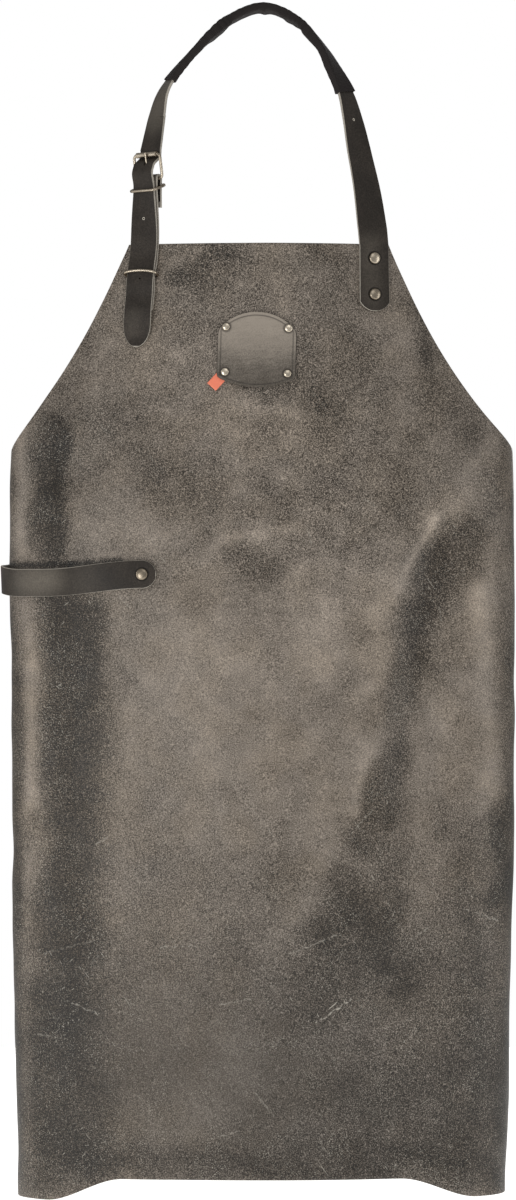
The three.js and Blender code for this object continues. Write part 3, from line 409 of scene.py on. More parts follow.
# The stage, in metres: the camera, the floor, and lamps by name, place, width, height and power.
CAMERA_PLACE, SENSOR_WIDTH = (-0.0043, -5.0, -0.6402), 36.0
FLOOR_RADIUS, FLOOR_BACK, FLOOR_BELOW, FLOOR_SIDES = 1.6, 0.2, 0.012, 96
LIT_PLACE = (0.0, -0.09, -0.7)
LAMPS = [
    ("key_light", (-1.7, -2.6, -1.1), 1.0, 1.3, 26),
    ("left_strip", (-1.5, -0.35, -0.65), 0.3, 1.5, 4),
    ("right_strip", (1.6, -0.8, -0.6), 0.4, 1.6, 6),
    ("top_fill", (0.4, -2.4, 1.4), 1.6, 1.6, 8),
    ("back_fill", (0.5, 2.4, 0.3), 1.6, 1.6, 30),
]

UP = np.array([0.0, 0.0, 1.0])


def mix(low, high, share):
    """The value at a share of the way from one to another."""
    return low + (high - low) * share


def ease(value, start, end):
    """Smooth step from 0 to 1 between two values."""
    share = np.clip((np.asarray(value, float) - start) / (end - start), 0, 1)
    return share * share * (3 - 2 * share)


def unit(vector):
    return vector / np.linalg.norm(vector, axis=-1, keepdims=True)


def turned(vector, angle):
    """A vector turned about the upright axis."""
    c, s = math.cos(angle), math.sin(angle)
    x, y, z = vector
    return np.array([c * x - s * y, s * x + c * y, z])


def soft_lines(lines, across, drop, edge=2):
    """The sum of soft crests and valleys along lines of the cut. A higher edge ends them more plainly."""
    total = np.zeros(np.shape(across))
    for from_across, from_drop, to_across, to_drop, reach, rise in lines:
        run_across, run_drop = to_across - from_across, to_drop - from_drop
        here_across, here_drop = across - from_across, drop - from_drop
        share = (here_across * run_across + here_drop * run_drop) / (run_across**2 + run_drop**2)
        share = np.clip(share, 0, 1)
        off = np.hypot(here_across - share * run_across, here_drop - share * run_drop)
        total = total + rise * np.exp(-((off / reach) ** edge))
    return total


def turn_at(across, drop):
    """How far the sheet's surface has turned back at a distance across it."""
    radius = mix(CHEST_RADIUS, SKIRT_RADIUS, ease(drop, 0, CHEST_DROP))
    start = mix(CURL_START, CURL_LOW_START, ease(drop, CURL_FROM, CURL_TO))
    into = np.clip((np.abs(across) - start) / (HALF_WIDTH - start), 0, 1)
    return across / radius + np.sign(across) * CURL_TURN * into**2


def sheet_point(across, drop):
    """The middle of the sheet's wall at places of the cut."""
    across, drop = np.broadcast_arrays(np.asarray(across, float), np.asarray(drop, float))
    step = across / BEND_STEPS
    x = np.zeros(across.shape)
    y = FRONT_Y + BIB_LEAN * (1 - ease(drop, 0, BIB_LEAN_DROP))
    y = y + HEM_TUCK * ease(drop, HEM_TUCK_FROM, HEM_TUCK_TO)
    for i in range(BEND_STEPS):
        turn = turn_at((i + 0.5) * step, drop)
        x = x + np.cos(turn) * step
        y = y + np.sin(turn) * step
    turn = turn_at(across, drop)
    rise = soft_lines(FOLDS, across, drop)
    return np.stack([x + np.sin(turn) * rise, y - np.cos(turn) * rise, BIB_TOP_Z - drop], axis=-1)


def sheet_frame(across, drop):
    """Middle point of the sheet, its directions across and down, and the normal out of its front."""
    along = unit(sheet_point(across + 1, drop) - sheet_point(across - 1, drop))
    down = unit(sheet_point(across, drop + 1) - sheet_point(across, drop - 1))
    return sheet_point(across, drop), along, down, unit(np.cross(down, along))


def on_sheet(across, drop, lift):
    """A place lifted off the middle of the sheet's wall."""
    point, _, _, normal = sheet_frame(across, drop)
    return point + lift * normal


def hem_drop(across):
    """Drop of the hem, with its dips and its round corners."""
    depth = np.where(across < 0, LEFT_HEM_DIP, RIGHT_HEM_DIP)
    dip = depth * ease(np.abs(across), HEM_DIP_FROM, HEM_DIP_TO)
    into = np.clip((np.abs(across) - HALF_WIDTH + HEM_CORNER) / HEM_CORNER, 0, 1)
    return BODY_LENGTH + dip - HEM_CORNER * (1 - np.sqrt(1 - into * into))


def grid_faces(rows, columns, start=0, closed=False, looped=False):
    """Quads of a grid of points, row by row.

    A closed grid joins its last column to its first, and a looped one its last row to its first.
    """
    i, j = np.meshgrid(np.arange(rows - (not looped)), np.arange(columns - (not closed)), indexing="ij")
    below, after = (i + 1) % rows, (j + 1) % columns
    quads = [i * columns + j, below * columns + j, below * columns + after, i * columns + after]
    return (np.stack(quads, axis=-1).reshape(-1, 4) + start).tolist()


def shell(point, normal, lift, thickness, rim_share):
    """A closed sheet over a grid of places, thinner at its rim: points, faces and where its rim is."""
    rows, columns = point.shape[:2]
    rim = np.zeros((rows, columns), bool)
    rim[[0, -1]] = True
    rim[:, [0, -1]] = True
    half = np.where(rim, rim_share, 1.0) * thickness / 2
    front = point + (lift + half)[..., None] * normal
    back = point + (lift - half)[..., None] * normal
    count = rows * columns
    faces = grid_faces(rows, columns)
    faces += [quad[::-1] for quad in grid_faces(rows, columns, count)]
    index = np.arange(count).reshape(rows, columns)
    border = np.concatenate([index[0, :-1], index[:-1, -1], index[-1, :0:-1], index[:0:-1, 0]])
    after = np.roll(border, -1)
    faces += np.stack([border, after, after + count, border + count], axis=-1).tolist()
    return np.concatenate([front.reshape(-1, 3), back.reshape(-1, 3)]), faces, rim.astype(float)


def make_piece(name, points, faces, finish, nodes, marks=None, crease=None):
    """A smooth mesh piece that rides on the frame and stands for CAD nodes."""
    mesh = bpy.data.meshes.new(name)
    mesh.from_pydata((np.asarray(points) * MM).tolist(), [], faces)
    for key, values in (marks or {}).items():
        layer = mesh.attributes.new(key, "FLOAT", "POINT")
        layer.data.foreach_set("value", np.asarray(values, np.float32).ravel())
    mesh.validate()
    mesh.polygons.foreach_set("use_smooth", [True] * len(mesh.polygons))
    if crease is not None:
        mesh.set_sharp_from_angle(angle=math.radians(crease))
    mesh.materials.append(finish)
    piece = bpy.data.objects.new(name, mesh)
    bpy.context.scene.collection.objects.link(piece)
    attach(piece, "root")
    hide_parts(*nodes)
    return piece


def drill(piece, cutters):
    """Cuts closed meshes, each (points, faces) in millimetres, out of a piece."""
    for points, faces in cutters:
        mesh = bpy.data.meshes.new("cutter")
        mesh.from_pydata((np.asarray(points) * MM).tolist(), [], faces)
        cutter = bpy.data.objects.new("cutter", mesh)
        bpy.context.scene.collection.objects.link(cutter)
        modifier = piece.modifiers.new("hole", "BOOLEAN")
        modifier.operation = "DIFFERENCE"
        modifier.solver = "EXACT"
        modifier.object = cutter
        depsgraph = bpy.context.evaluated_depsgraph_get()
        cut = bpy.data.meshes.new_from_object(piece.evaluated_get(depsgraph))
        piece.modifiers.clear()
        piece.data = cut
        bpy.data.objects.remove(cutter)


def prism(outline, point, across, up, out, length):
    """A closed prism of an outline (across, up) round a point, its length along out."""
    outline = np.asarray(outline, float)
    ring = point + outline[:, :1] * across + outline[:, 1:] * up
    points = np.concatenate([ring - out * length / 2, ring + out * length / 2])
    n = len(outline)
    faces = [list(range(n - 1, -1, -1)), list(range(n, 2 * n))]
    faces += [[i, (i + 1) % n, n + (i + 1) % n, n + i] for i in range(n)]
    return points, faces


def round_outline(radius):
    angles = np.arange(HOLE_SIDES) * 2 * math.pi / HOLE_SIDES
    return np.stack([radius * np.cos(angles), radius * np.sin(angles)], axis=-1)


class Shade:
    """An output socket of a material's nodes, so that shader maths reads as an expression."""

    def __init__(self, tree, socket):
        self.tree = tree
        self.socket = socket

    def node(self, kind, settings=(), sockets=(), output=0):
        """Adds a node: first its settings, then the values or links of its inputs. Gives an output."""
        made = self.tree.nodes.new(kind)
        for key, value in dict(settings).items():
            if key == "stops":
                ramp = made.color_ramp.elements
                ends = ramp[0], ramp[1]
                for end, (place, colour) in zip(ends, (value[0], value[-1])):
                    end.position = place
                    end.color = colour
                for place, colour in value[1:-1]:
                    stop = ramp.new(place)
                    stop.color = colour
            else:
                setattr(made, key, value)
        for key, value in dict(sockets).items():
            if isinstance(value, Shade):
                self.tree.links.new(value.socket, made.inputs[key])
            else:
                made.inputs[key].default_value = value
        return Shade(self.tree, made.outputs[output])

    def maths(self, operation, *values):
        return self.node("ShaderNodeMath", {"operation": operation}, enumerate(values))

    def __add__(self, other):
        return self.maths("ADD", self, other)

    __radd__ = __add__

    def __sub__(self, other):
        return self.maths("SUBTRACT", self, other)

    def __rsub__(self, other):
        return self.maths("SUBTRACT", other, self)

    def __mul__(self, other):
        return self.maths("MULTIPLY", self, other)

    __rmul__ = __mul__

    def step(self, start, end):
        """0 below start, 1 above end, smooth between."""
        sockets = {"Value": self, "From Min": start, "From Max": end}
        return self.node("ShaderNodeMapRange", {"interpolation_type": "SMOOTHSTEP"}, sockets)

    def held(self):
        """This value held between 0 and 1."""
        return self.node("ShaderNodeClamp", {}, {"Value": self})

    def sine(self):
        return self.maths("SINE", self)

    def blend(self, low, high):
        """A colour between two, by this value."""
        settings = {"data_type": "RGBA"}
        return self.node("ShaderNodeMix", settings, {0: self, 6: low, 7: high}, 2)

    def shades(self, colour, low, high):
        """A settings colour from darker to paler, by this value between two factors."""
        return self.blend(rgb(colour, low), rgb(colour, high))

    def ramp(self, stops):
        """A colour by this value, from stops of (place, colour)."""
        return self.node("ShaderNodeValToRGB", {"stops": stops}, {"Fac": self})

    def vector(self, operation, other, output="Vector"):
        return self.node("ShaderNodeVectorMath", {"operation": operation}, {0: self, 1: other}, output)

    def scaled(self, factors):
        return self.vector("MULTIPLY", factors)

    def spun(self, angle):
        """A place turned about the front's own axis."""
        sockets = {"Vector": self, "Axis": (0, 1, 0), "Angle": angle}
        return self.node("ShaderNodeVectorRotate", {"rotation_type": "AXIS_ANGLE"}, sockets)

    def noise(self, scale, detail=2.0, roughness=0.5):
        sockets = {"Vector": self, "Scale": scale, "Detail": detail, "Roughness": roughness}
        return self.node("ShaderNodeTexNoise", {}, sockets)

    def jittered(self, scale, reach):
        """A place moved about a little by noise."""
        shift = self.node("ShaderNodeTexNoise", {}, {"Vector": self, "Scale": scale}, "Color")
        return self.vector("ADD", shift.vector("SUBTRACT", (0.5, 0.5, 0.5)).scaled((reach, reach, reach)))

    def near_line(self, start, end, reach):
        """1 on the line between two places and 0 beyond its reach."""
        run = Vector(end) - Vector(start)
        here = self.vector("SUBTRACT", start)
        share = here.vector("DOT_PRODUCT", tuple(run / run.length_squared), "Value").held()
        parts = {0: share * run.x, 1: share * run.y, 2: share * run.z}
        nearest = share.node("ShaderNodeCombineXYZ", {}, parts)
        return here.vector("DISTANCE", nearest, "Value").step(reach, 0.0)

    def near_point(self, point, reach):
        """1 up to a distance from a place and 0 a little beyond it."""
        return self.vector("DISTANCE", point, "Value").step(reach, 0.85 * reach)

    def height(self):
        return self.vector("DOT_PRODUCT", (0.0, 0.0, 1.0), "Value")

    def mark(self, name):
        """A number kept on the mesh's points."""
        return self.node("ShaderNodeAttribute", {"attribute_name": name}, {}, "Fac")

    def bump(self, depth, strength=1.0, under=None):
        """A normal from this height, in units of depth in metres, over another normal."""
        sockets = {"Height": self, "Distance": depth, "Strength": strength}
        if under is not None:
            sockets["Normal"] = under
        return self.node("ShaderNodeBump", {}, sockets)

    def feed(self, shader, name):
        self.tree.links.new(self.socket, shader.inputs[name])


def new_finish(name, constants):
    """A material, its shader with its constant inputs set, and the place on the piece in metres."""
    finish = bpy.data.materials.new(name)
    finish.use_nodes = True
    tree = finish.node_tree
    shader = tree.nodes["Principled BSDF"]
    for key, value in constants.items():
        shader.inputs[key].default_value = value
    coordinates = tree.nodes.new("ShaderNodeTexCoord")
    return finish, shader, Shade(tree, coordinates.outputs["Object"])


def rgb(settings_colour, factor=1.0, warmth=0.0):
    """A settings colour as a node's colour, made darker or paler and warmer."""
    red, green, blue = settings_colour
    return (factor * red, factor * (1 - 0.4 * warmth) * green, factor * (1 - warmth) * blue, 1.0)


def wear_and_painted_light_lines(place, lines):
    """Soft lines on the front, for scuffs and for painted highlights and shadows: x and z of both ends and
    reach in millimetres, and strength.
    """
    total = None
    for from_x, from_z, to_x, to_z, reach, strength in lines:
        ends = (from_x * MM, 0.0, from_z * MM), (to_x * MM, 0.0, to_z * MM)
        line = strength * place.near_line(*ends, reach * MM)
        total = line if total is None else total + line
    return total


def sheet_finish(look):
    """Waxed grey-brown hide: clouded tone with painted sheen and shade, painted highlight and shadow
    lines, fine grain, pale flecks and hairline scuffs; suede behind.
    """
    finish, shader, place = new_finish("waxed_hide", {"Specular IOR Level": 0.35})
    edge = place.mark("raw_edge")
    clouds = place.noise(9.0, 3.0, 0.55)
    mottle = place.noise(42.0, 2.0, 0.55)
    pebbles = place.noise(HIDE_GRAIN, 1.0, 0.5)
    coarse = place.mark("coarse")
    front = place.scaled((1.0, 0.0, 1.0))
    ragged = front.jittered(160.0, 0.006)
    # The tone mark and the sharp lines paint sheen, highlights and shade into the hide's level.
    level = MIDDLE_LEVEL + place.mark("tone") + wear_and_painted_light_lines(front.jittered(90.0, 0.002), PAINTED_LIGHT_LINES)
    level = level + 0.45 * (clouds - 0.5) + (0.3 + 0.2 * coarse) * (mottle - 0.5)
    shadow = 1.0 - level.step(0.1, 0.6)
    level = level + (1.0 + 0.65 * coarse + shadow) * (pebbles - 0.5)
    lowest, highest = HIDE_LEVELS[0][0], HIDE_LEVELS[-1][0]
    stops = []
    for at, pale, warm in HIDE_LEVELS:
        stops.append(((at - lowest) / (highest - lowest), rgb(look.sheet_colour, pale, warm)))
    colour = ((level - lowest) * (1 / (highest - lowest))).ramp(stops)
    warm = 0.3 * place.noise(19.0, 2.0, 0.5).step(0.4, 0.66) + place.mark("warm")
    colour = warm.held().blend(colour.scaled((0.98, 1.0, 1.06)), colour.scaled((1.03, 0.995, 0.95)))
    patchy = place.noise(24.0, 2.0, 0.6).step(0.4, 0.66)
    flecks = place.noise(1.2 * HIDE_GRAIN, 1.0, 0.5).step(0.62, 0.71) * (0.2 + 0.8 * patchy)
    streaks = place.spun(0.6).scaled((700.0, 700.0, 22.0)).noise(1.0, 1.0, 0.4).step(0.72, 0.8)
    crossed = place.spun(-0.9).scaled((640.0, 640.0, 26.0)).noise(1.0, 1.0, 0.4).step(0.74, 0.82)
    worn = place.noise(5.0, 2.0, 0.5).step(0.36, 0.62)
    hairlines = wear_and_painted_light_lines(ragged, [(*ends, SCUFF_REACH, strength) for *ends, strength in SCUFFS])
    scuffs = hairlines * place.noise(420.0, 1.0, 0.5).step(0.38, 0.56)
    scratches = (0.3 + 0.45 * shadow) * (streaks + crossed) * worn
    pale = flecks * (0.08 + 0.75 * shadow) + scratches + 0.85 * scuffs
    colour = pale.held().blend(colour, rgb(look.scuff_colour))
    colour = (0.5 * edge.step(0.3, 0.9)).blend(colour, rgb(look.raw_colour))
    nap = place.noise(500.0, 3.0, 0.7)
    suede = (0.5 * nap + 0.5 * mottle).shades(look.suede_colour, 0.7, 1.3)
    inner_side = place.mark("inner_side").step(0.4, 0.6)
    inner_side.blend(colour, suede).feed(shader, "Base Color")
    gloss = 0.48 + 0.2 * (mottle - 0.5) - 0.2 * (pebbles - 0.5) + 0.2 * flecks
    (gloss + inner_side * 0.4 + edge * 0.3).feed(shader, "Roughness")
    swell = mottle.bump(0.0012, 0.5)
    (pebbles + 0.5 * inner_side * nap).bump(0.0006, 0.6, swell).feed(shader, "Normal")
    return finish


def pale_holes(look):
    """Where the two punched holes with pale rims open on the strap's face."""
    lifts = Lifts(look)
    point, _, normal = left_frame(PUNCHED_RISES[0])
    points, _, _, normals = framed(neck_run())
    k = RIGHT_HOLE_STATION * RUN_STEPS
    face = lifts.strap / 2
    return [point + (lifts.free_end(PUNCHED_RISES[0]) + face) * normal, points[k] + face * normals[k]]


def strap_rivets(look):
    """Where the rivets that show sit on the straps' faces."""
    lifts = Lifts(look)
    places = [(RIGHT_ACROSS, drop) for drop in RIGHT_RIVET_DROPS] + [(LOOP_ACROSS, LOOP_DROP)]
    return [on_sheet(across, drop, lifts.on_sheet + lifts.strap / 2) for across, drop in places]


def strap_finish(look):
    """Dark waxed leather with paler raw edges, a suede back, painted highlights, pale hole rims that are
    partly a painted highlight, and painted shadow rings round the rivets.
    """
    finish, shader, place = new_finish("bridle_leather", {"Specular IOR Level": 0.2})
    edge = place.mark("raw_edge").step(0.35, 0.85)
    flesh = place.mark("flesh_side")
    bloom = place.noise(30.0, 3.0, 0.6)
    grain = place.noise(620.0, 2.0, 0.6)
    fibres = place.noise(420.0, 3.0, 0.7)
    strap = look.strap_colour
    level = 0.5 + 0.8 * (bloom - 0.5) + 0.9 * (grain - 0.5)
    stops = [(0.2, rgb(strap, 0.55)), (0.5, rgb(strap)), (0.8, rgb(strap, 1.8))]
    colour = level.ramp(stops)
    # Painted highlights on the straps' faces.
    strap_sheen = wear_and_painted_light_lines(place.scaled((1.0, 0.0, 1.0)), STRAP_HIGHLIGHTS) * (0.55 + 0.9 * grain)
    colour = strap_sheen.held().blend(colour, rgb(look.raw_colour, 0.8, 0.1))
    raw = fibres.shades(look.raw_colour, 0.7, 1.3)
    # Pale rims round the punched holes: raw-edge colour made paler, partly the cut fibres and partly a
    # painted highlight on the holes' walls.
    for hole in pale_holes(look):
        rim = place.near_point(tuple(hole * MM), PALE_RIM * MM)
        colour = rim.blend(colour, rgb(look.raw_colour, 1.4))
    # Painted shadow rings round the strap rivets.
    for rivet in strap_rivets(look):
        ring = place.near_point(tuple(rivet * MM), RIVET_SHADOW_RING * MM)
        colour = (0.8 * ring).blend(colour, rgb(strap, 0.3))
    colour = edge.blend(colour, raw)
    suede = fibres.shades(look.suede_colour, 0.55, 1.0)
    colour = flesh.step(0.4, 0.6).blend(colour, suede)
    colour.feed(shader, "Base Color")
    rough = 0.5 + 0.2 * (bloom - 0.5) + 0.35 * edge + 0.35 * flesh
    rough.feed(shader, "Roughness")
    (grain + 0.5 * fibres * (edge + flesh)).bump(0.0003, 0.5).feed(shader, "Normal")
    return finish


def patch_finish(look):
    """The patch: smoother hide with fine lines, paler to its top as a painted highlight, darker in its
    pressed border and in painted shadow rings round its rivets, with a dark rim that is partly painted
    shadow.
    """
    finish, shader, place = new_finish("patch_hide", {"Roughness": 0.55, "Specular IOR Level": 0.25})
    edge = place.mark("raw_edge")
    pressed = place.mark("pressed")
    lines = place.spun(0.1).scaled((60.0, 60.0, 420.0)).noise(1.0, 3.0, 0.6)
    mottle = place.noise(60.0, 3.0, 0.6)
    grain = place.noise(HIDE_GRAIN, 1.0, 0.5)
    middle = (BIB_TOP_Z - PATCH_DROP) * MM
    # Paler to the top: a painted highlight.
    upper = place.height().step(middle - PATCH_BOTTOM * MM, middle + PATCH_TOP * MM)
    level = 0.22 + 0.78 * upper + 0.4 * (lines - 0.5) + 0.25 * (mottle - 0.5) + 0.7 * (grain - 0.5)
    hide = look.patch_colour
    stops = [(0.0, rgb(hide, 0.35, 0.2)), (0.35, rgb(hide)), (0.7, rgb(hide, 2.0)), (1.0, rgb(hide, 2.5))]
    colour = level.ramp(stops)
    # Darker in the pressed border, and in the rings round the rivets, whose darkness is painted shadow.
    colour = (0.7 * pressed).blend(colour, rgb(hide, 0.25))
    # The cut edge is painted dark, partly as painted shadow along the rim.
    colour = edge.step(0.2, 0.8).blend(colour, rgb(look.strap_colour))
    colour.feed(shader, "Base Color")
    (lines + grain).bump(0.0004, 0.4).feed(shader, "Normal")
    return finish


def tab_finish(look):
    """Coral dyed split leather."""
    finish, shader, place = new_finish("coral_leather", {})
    fuzz = place.noise(900.0, 3.0, 0.7)
    fuzz.shades(look.tab_colour, 0.85, 1.12).feed(shader, "Base Color")
    (0.6 + 0.2 * fuzz).feed(shader, "Roughness")
    fuzz.bump(0.0002, 0.5).feed(shader, "Normal")
    return finish


def sleeve_finish(look):
    """Black ribbed textile, woven across the sleeve."""
    finish, shader, place = new_finish("sleeve_textile", {"Roughness": 0.95, "Specular IOR Level": 0.12})
    ribs = (place.mark("along") * (2 * math.pi / look.weave_pitch)).sine()
    fuzz = place.noise(1400.0, 2.0, 0.6)
    level = 0.25 + 0.25 * ribs + 0.5 * fuzz
    level.shades(look.sleeve_colour, 0.6, 1.4).feed(shader, "Base Color")
    level.bump(0.0004, 0.6).feed(shader, "Normal")
    return finish


def brass_finish(look):
    """Aged brass: browned in patches and, partly as painted shadow, round the rivets' rims; painted
    highlights on the wires' fronts and painted shade at their sides.
    """
    finish, shader, place = new_finish("aged_brass", {"Metallic": 1.0})
    # The mark holds tarnish together with painted highlights and shade.
    level = (0.3 * place.noise(34.0, 2.0, 0.5).step(0.42, 0.7) + place.mark("grimed")).held()
    colour = level.blend(rgb(look.brass_colour), rgb(look.tarnish_colour))
    colour.feed(shader, "Base Color")
    (0.28 + 0.08 * level).feed(shader, "Roughness")
    return finish


def finish_named(name, make, look):
    """A finish, made once."""
    return bpy.data.materials.get(name) or make(look)


def waves(across, drop, seed, shortest, longest, height):
    """A fixed set of sine waves over the cut, each as high as a share of its length."""
    rng = np.random.default_rng(seed)
    rise = np.zeros(np.shape(across))
    for _ in range(WAVE_COUNT):
        length = rng.uniform(shortest, longest)
        angle = rng.uniform(0, math.pi)
        phase = rng.uniform(0, 2 * math.pi)
        along = across * math.cos(angle) + drop * math.sin(angle)
        rise = rise + height * length * np.sin(2 * math.pi * along / length + phase)
    return rise


class APRON_OT_sheet(bpy.types.Operator):
    """Makes the bib and skirt from one hanging sheet of hide"""

    bl_idname = "apron.sheet"
    bl_label = "Bib and skirt"

    def execute(self, context):
        look = context.scene.apron_look
        even = np.linspace(-1, 1, SHEET_COLUMNS)
        side = 1.2 * even - 0.2 * even**3
        nip = EDGE_INSET / HALF_WIDTH
        side = np.concatenate([[-1], [-1 + nip], side[1:-1], [1 - nip], [1]])
        share = np.linspace(0, 1, BIB_ROWS + 1)[:-1] ** 1.2
        share = np.concatenate([[0, EDGE_INSET / (2 * LEFT_ARMHOLE[2])], share[1:]])
        weights = np.stack([(1 - share) ** 2, 2 * share * (1 - share), share**2], axis=-1)
        curves = []
        for half_bib, bend_across, bend_drop in (LEFT_ARMHOLE, RIGHT_ARMHOLE):
            ends = [[half_bib, 0], [bend_across, bend_drop], [HALF_WIDTH, ARMHOLE_DROP]]
            curves.append(weights @ np.array(ends, float))
        left, right = curves
        bib_across = np.where(side < 0, left[:, :1], right[:, :1]) * side
        bib_drop = mix(left[:, 1:], right[:, 1:], (side + 1) / 2)
        skirt_across = side * HALF_WIDTH
        down = np.linspace(0, 1, SKIRT_ROWS)
        down = np.concatenate([down[:-1], [1 - EDGE_INSET / BODY_LENGTH], [1]])[:, None]
        skirt_drop = mix(ARMHOLE_DROP, hem_drop(skirt_across), down)
        across = np.concatenate([bib_across, np.repeat(skirt_across[None], len(down), axis=0)])
        drop = np.concatenate([bib_drop, skirt_drop])
        point, _, _, normal = sheet_frame(across, drop)
        point = point + waves(across, drop, FINE_SEED, *FINE_WAVES)[..., None] * normal
        points, faces, rim = shell(point, normal, 0, look.sheet_thickness / MM, SHEET_RIM)
        aside, below = (waves(across, drop, seed, *WANDER_WAVES) for seed in WANDER_SEEDS)
        # Tone from the marks: partly the hide's own tone, partly painted sheen and shade.
        tone = 0
        for lines, follow, edge in TONE_MARKS:
            tone = tone + soft_lines(lines, across + follow * aside, drop + follow * below, edge)
        marks = {"tone": tone, "raw_edge": rim}
        marks["coarse"] = soft_lines(GRAIN_ZONES, across, drop)
        marks["warm"] = WARMTH + soft_lines(TINT_ZONES, across, drop)
        marks = {key: np.tile(values.ravel(), 2) for key, values in marks.items()}
        marks["inner_side"] = np.repeat([0.0, 1.0], across.size)
        finish = finish_named("waxed_hide", sheet_finish, look)
        sheet = make_piece("bib_and_skirt", points, faces, finish, ["apron_body"], marks)
        return {"FINISHED"}


def left_across(drop):
    """How far across the left strap lies on the bib."""
    return LEFT_ACROSS - LEFT_SLOPE * drop


def left_frame(rise):
    """Point, outer edge direction and normal of the left strap at a height above the heel bar."""
    drop = -HEEL_RISE - rise
    if drop >= 0:
        point, along, _, normal = sheet_frame(left_across(drop), drop)
        return point, -along, normal
    point, along, down, normal = sheet_frame(left_across(0), 0.0)
    point = point + down * (drop / -down[2]) - along * LEFT_CLIMB * drop
    turn = -LEFT_EXTRA_TURN * ease(-drop, 0, LEFT_TURN_RISE)
    return point, turned(-along, turn), turned(normal, turn)


class Lifts:
    """How far the left strap's layers lie off the sheet's middle, for the chosen thicknesses."""

    def __init__(self, look):
        self.strap = look.strap_thickness / MM
        self.width = look.strap_width / MM
        self.wire = look.wire_radius / MM
        self.on_sheet = look.sheet_thickness / MM / 2 + SEAT + self.strap / 2
        self.heel = self.wire + GAP + self.strap / 2
        self.free = self.heel + self.strap + 2 * SEAT
        self.over_rivet = self.on_sheet + self.strap + 2 * SEAT + HIDDEN_DOME
        self.hump = self.on_sheet + 2 * self.wire + SEAT
        self.over_hump = self.hump + self.strap + SEAT
        self.behind_roller = BUCKLE_LEAN - ROLLER - GAP - self.strap / 2

    def free_end(self, rise):
        """The free end in front of the heel bar, behind the roller and down to its tip."""
        drop = -HEEL_RISE - rise
        bulge = FREE_BULGE * math.exp(-(((rise - FREE_BULGE_RISE) / FREE_BULGE_REACH) ** 2))
        if rise >= 0:
            share = ease(rise, FREE_ROLLER_RISE, BUCKLE_HEIGHT - 1)
            return bulge + mix(self.free, self.behind_roller, share)
        if drop <= 0:
            share = ease(rise, -HEEL_RISE, FREE_HEEL_RISE)
            return bulge + mix(self.over_rivet, self.free, share)
        off = abs(drop - KEEPER_LOWER_DROP)
        hump = 1 - ease(off, FREE_HUMP_FLAT, KEEPER_HUMP + FREE_HUMP_SPREAD)
        lift = mix(self.over_rivet, self.over_hump, hump)
        return mix(lift, FREE_TIP_LIFT, ease(drop, FREE_TIP_FROM, FREE_DROP - FREE_TIP_FLAT))

    def left_station(self, rise, lift, half=None):
        point, edge, normal = left_frame(rise)
        return point + lift * normal, edge, self.width / 2 if half is None else half


def end_half_width(from_end, length, radius, full):
    """Half width of a strap near its rounded end."""
    into = np.clip(1 - from_end / length, 0, 1)
    return float(min(full, max(LEAST_HALF, radius * math.sqrt(1 - into * into))))


def neck_run(steps=RUN_STEPS):
    """Points and edge directions between the rows of the neck run, on one smooth curve."""
    rows = np.array(NECK_RUN, float)
    points = rows[:, :3]
    facing = np.radians(rows[:, 3])
    edges = np.stack([np.cos(facing), np.sin(facing), np.zeros(len(rows))], axis=-1)
    padded = np.concatenate([[2 * points[0] - points[1]], points, [2 * points[-1] - points[-2]]])
    made = []
    for i in range(len(points) - 1):
        a, b, c, d = padded[i : i + 4]
        first, middle, last = (math.sqrt(np.linalg.norm(q - p)) for p, q in ((a, b), (b, c), (c, d)))
        leave = ((b - a) / first - (c - a) / (first + middle) + (c - b) / middle) * middle
        arrive = ((c - b) / middle - (d - b) / (middle + last) + (d - c) / last) * middle
        for k in range(steps + (i == len(points) - 2)):
            t = k / steps
            cubic = 2 * b - 2 * c + leave + arrive
            square = -3 * b + 3 * c - 2 * leave - arrive
            point = cubic * t**3 + square * t**2 + leave * t + b
            made.append((point, unit(mix(edges[i], edges[i + 1], t))))
    return made


def framed(stations):
    """Arrays of points, along, edge and normal directions for a strap's stations."""
    points = np.array([station[0] for station in stations])
    edges = np.array([station[1] for station in stations])
    ahead = np.concatenate([points[1:], points[-1:]])
    behind = np.concatenate([points[:1], points[:-1]])
    along = unit(ahead - behind)
    edges = unit(edges - np.sum(edges * along, axis=-1, keepdims=True) * along)
    return points, along, edges, np.cross(edges, along)


def strap_mesh(stations, thickness):
    """A flat strap with rounded edges: points, faces and marks."""
    points, _, edges, normals = framed(stations)
    halves = np.array([station[2] for station in stations])
    top, bevel = thickness / 2, STRAP_BEVEL
    near = np.minimum(1, halves / BEVEL_FADE)
    rounding = [(0, top - bevel, 1, 0), (0.3 * bevel, top - 0.3 * bevel, 0.8, 0)]
    rounding += [(bevel, top, 0.2, 0), (2 * bevel, top, 0, 0)]
    ring = [(1, *corner) for corner in rounding]
    ring += [(0.4, 0, top, 0, 0), (-0.4, 0, top, 0, 0)]
    ring += [(-1, *corner) for corner in rounding[::-1]]
    ring += [(-1, 0, bevel - top, 1, 0), (-1, bevel, -top, 0.3, 1), (0, 0, -top, 0, 1)]
    ring += [(1, bevel, -top, 0.3, 1), (1, 0, bevel - top, 1, 0)]
    rings = []
    for sign, off, out, _, _ in ring:
        across = sign * halves - np.sign(sign) * off * near
        rings.append(points + across[:, None] * edges + out * normals)
    count, sides = len(points), len(ring)
    vertices = np.stack(rings, axis=1).reshape(-1, 3)
    faces = grid_faces(count, sides, closed=True)
    faces.append(list(range(sides)))
    faces.append(list(range(count * sides - 1, (count - 1) * sides - 1, -1)))
    raw = np.tile([float(corner[3]) for corner in ring], (count, 1))
    raw[:RAW_ROWS] = raw[-RAW_ROWS:] = 1
    marks = {
        "raw_edge": raw.ravel(),
        "flesh_side": np.tile([corner[4] for corner in ring], count),
    }
    return vertices, faces, marks


